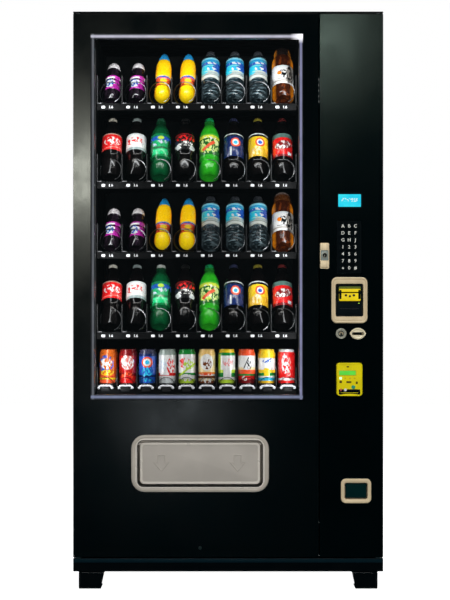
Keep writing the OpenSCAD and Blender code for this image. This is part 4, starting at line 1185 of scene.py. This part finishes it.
def build_card_reader():
    x, z, w, h, front, _ = front_of("card_reader")
    back, set_in = 23.6, 0.2
    body = Shape(x, front + 1.4, z)
    outlines = [(w, h, 10, back), (w, h, 10, 2.6), (w - 1, h - 1, 9.5, 0.2), (w - 3, h - 3, 8.5, -1.1),
                (w - 5, h - 5, 7.5, -1.4), (w - 8, h - 8, 6, -1.0), (w - 9, h - 9, 5.5, 0)]
    loops = [rounded_loop(*outline) for outline in outlines]
    for wide, high, y in ((54, 4.4, 0), (53, 3.4, 0.8), (53, 3.4, 11.6)):
        loops.append([(px, py, pz - 39) for px, py, pz in rounded_loop(wide, high, 1.2, y)])
    body.loft(loops, [0] * 7 + [1, 1])
    body.knob(0, 0, [(11.6, back + 12), (11.6, back - 0.5)], 1)
    body.frame(0, -39.5, (68, 17, 4), (54.5, 5.5, 1.6), -1.2, 0.3, 0.4, kind=1)
    turns = [math.radians(a) for a in range(0, 181, 12)]
    body.loft([[(32 * math.cos(a), y, -52 + 7 * math.sin(a)) for a in turns] for y in (set_in, -1.35)])
    # What lies on the face: x, z, width, height, corner, how far out it stands, edge and finish
    for px, pz, wide, high, corner, out, edge, kind in (
            (-5.6, 40, 8, 4, 1.5, 0.6, 0.3, 2), (-6.5, 20.5, 52, 14, 1.5, 0.9, 0.4, 3),
            (-6.5, 20.5, 56, 18, 2.5, 0.5, 0.3, 6), (-28, 3.6, 8, 8, 1.5, 1.0, 0.4, 4),
            (-13.5, 3.6, 5, 4, 1, 0.25, 0.1, 6), (1.5, 3.6, 6, 4, 1, 0.25, 0.1, 6),
            (16, 3.6, 6, 4, 1, 0.25, 0.1, 6), (-28, -7.5, 8, 8, 2, 0.35, 0.2, 2),
            (-2, -8.5, 16, 6, 2, 0.35, 0.2, 2), (23, -10.5, 6, 8, 2, 0.35, 0.2, 2)):
        body.slab(px, pz, wide, high, corner, -out, set_in, edge, kind)
    body.knob(12, -24.5, [(6.2, 0.2), (6.2, -0.8), (5.2, -1.3), (0.4, -1.4)], 7, 28)
    body.knob(-27.5, -32.6, [(3.4, -1), (3.4, -1.32), (0.4, -1.38)], 8, 20)
    body.knob(-13, -33, [(4.4, -1), (4.4, -1.32), (0.4, -1.38)], 5, 20)
    finishes = [YELLOW, GLOSS_BLACK, ICON, READER_LCD, PALE_LED, CLIP, RING, DOT_TEAL, DOT_RED]
    piece = body.make("card_reader_body", "control_door", "reader_yellow", finishes, 30)
    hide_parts("card_reader")


def build_coin_cup():
    _, _, w, h, front, back = front_of("coin_cup")
    x, z, _, _, _, _ = front_of("coin_flap")
    face = box_mm("control_panel")[0].y
    lip, reach, rise = front - face, 35.5, 25.5
    cup = Shape(x, face, z)
    cup.ring([
        (w, h, 16, 0), (w, h, 16, lip + 3), (w - 1.6, h - 1.6, 15.2, lip + 1.2),
        (w - 5, h - 5, 13.5, lip + 0.2), (w - 10, h - 10, 11, lip), (w - 16, h - 16, 8.5, lip + 0.8),
        (73, 53, 6, lip + 2.6), (71.4, 51.4, 6, 1), (71.4, 51.4, 6, 12.2), (77, 57, 8.5, 12.2),
        (77, 57, 8.5, 0.5)])
    add_bin(cup, reach, rise, rise, 12.5, back - face)
    piece = cup.make("coin_cup_bezel", "control_door", "beige_bezel", [BEIGE], 30)
    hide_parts("coin_cup")

    flap = Shape(x, face, z)
    flap.slab(0, 0, 66, 46, 4, 3, 8, 0.8)
    flap.slab(0, -17.5, 56, 4.5, 2, 1.4, 3.4, 0.9)
    flap.frame(0, 0, (64, 44, 4), (60, 40, 2.5), 2.4, 3.4, 0.35)
    for side in (-1, 1):
        flap.tube([(side * 29.5, 6, 17.5), (side * 38, 6, 17.5)], 2, 12)
    piece = flap.make("coin_flap_panel", "coin_flap", "flap_teal", [TEAL], 30)
    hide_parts("coin_flap")


# ---------------------------------------------------------------- cabinet

def build_plinth_lip():
    """A strip along the top of the plinth's front, as its rolled edge, in a lighter teal: a painted
    highlight where the edge catches the light from above.
    """
    x, _, width, _, front, _ = front_of("base_frame")
    height, top = 12.5, box_mm("door_frame")[0].z - 4.5
    lip = Shape(x, front, top - height / 2)
    lip.slab(0, 0, width - 1, height, 1, -1.4, 0.2, 0.9)
    lip.make("plinth_lip", "cabinet", "black_steel", [LIP_PAINTED_HIGHLIGHT])


def build_cabinet_details():
    """Screws round the rear panel, the inlet's pins, and the pipes of the refrigeration."""
    lo, hi = box_mm("rear_panel")
    inset, first, per_side, columns = 10, 20, 8, 5
    panel_back = hi.y - 4
    screws = Shape()
    for i in range(per_side):
        z = lo.z + first + i * (hi.z - lo.z - 2 * first) / (per_side - 1)
        for x in (lo.x + inset, hi.x - inset):
            add_rear_screw(screws, x, z, panel_back)
    for i in range(1, columns):
        for z in (lo.z + inset, hi.z - inset):
            add_rear_screw(screws, lo.x + i * (hi.x - lo.x) / columns, z, panel_back)
    screws.make("rear_screws", "cabinet", "pin_steel", [SCREW])

    inlet_from_side, inlet_z = 107, 170
    inlet = Shape(hi.x - inlet_from_side, panel_back, inlet_z)
    for x, z in ((-8, -2), (8, -2), (0, 4)):
        inlet.slab(x, z, 2.2, 6, 0.5, -9, 1, 0.3)
    inlet.make("inlet_pins", "cabinet", "pin_steel", [PIN])

    comp_lo, comp_hi = box_mm("compressor")
    lo, hi = box_mm("condenser_coil")
    cx, cy, top = (comp_lo.x + comp_hi.x) / 2 - 10, (comp_lo.y + comp_hi.y) / 2, comp_hi.z
    y = lo.y + 21
    pipes = Shape()
    for route in ([(cx + 55, cy - 40, top - 60), (cx + 55, cy - 130, top - 60),
                   (lo.x - 22, cy - 130, hi.z - 20), (lo.x - 22, y, hi.z - 20), (lo.x + 2, y, hi.z - 28)],
                  [(cx - 45, cy + 30, top - 50), (cx - 45, cy + 75, top - 50),
                   (hi.x + 40, cy + 75, top - 50), (hi.x + 40, y, lo.z + 60), (hi.x - 2, y, lo.z + 40)]):
        pipes.tube(bent(route), 4, 10)
    pipes.make("refrigerant_pipes", "cabinet", "coil_aluminium", [COPPER], 60)


def bent(points, radius=18.0, steps=5):
    """A pipe's route with its corners rounded."""
    route = [Vector(points[0])]
    for before, corner, after in zip(points, points[1:], points[2:]):
        before, corner, after = Vector(before), Vector(corner), Vector(after)
        r = min(radius, 0.45 * (corner - before).length, 0.45 * (after - corner).length)
        start = corner + r * (before - corner).normalized()
        end = corner + r * (after - corner).normalized()
        for i in range(steps + 1):
            t = i / steps
            route.append((1 - t) ** 2 * start + 2 * t * (1 - t) * corner + t ** 2 * end)
    return route + [Vector(points[-1])]


def add_rear_screw(shape, x, z, y, r=4.5):
    """Pan head on a face at y that looks to +Y."""
    turn = Matrix.Translation((x, y, z)) @ Matrix.Rotation(-math.pi / 2, 4, "X")
    shape.turned([(r, -0.2), (r, 0.25 * r), (0.8 * r, 0.5 * r), (0.4 * r, 0.62 * r), (0.1 * r, 0.65 * r)],
                 turn, 20)


dress_cad()
build_stage()
for number, row in enumerate(build_goods()):
    build_tray(number, row)
build_delivery_port()
build_door_details()
build_display()
build_key_glyphs()
build_lock()
build_bill_acceptor()
build_coin_parts()
build_card_reader()
build_coin_cup()
build_cabinet_details()
build_plinth_lip()
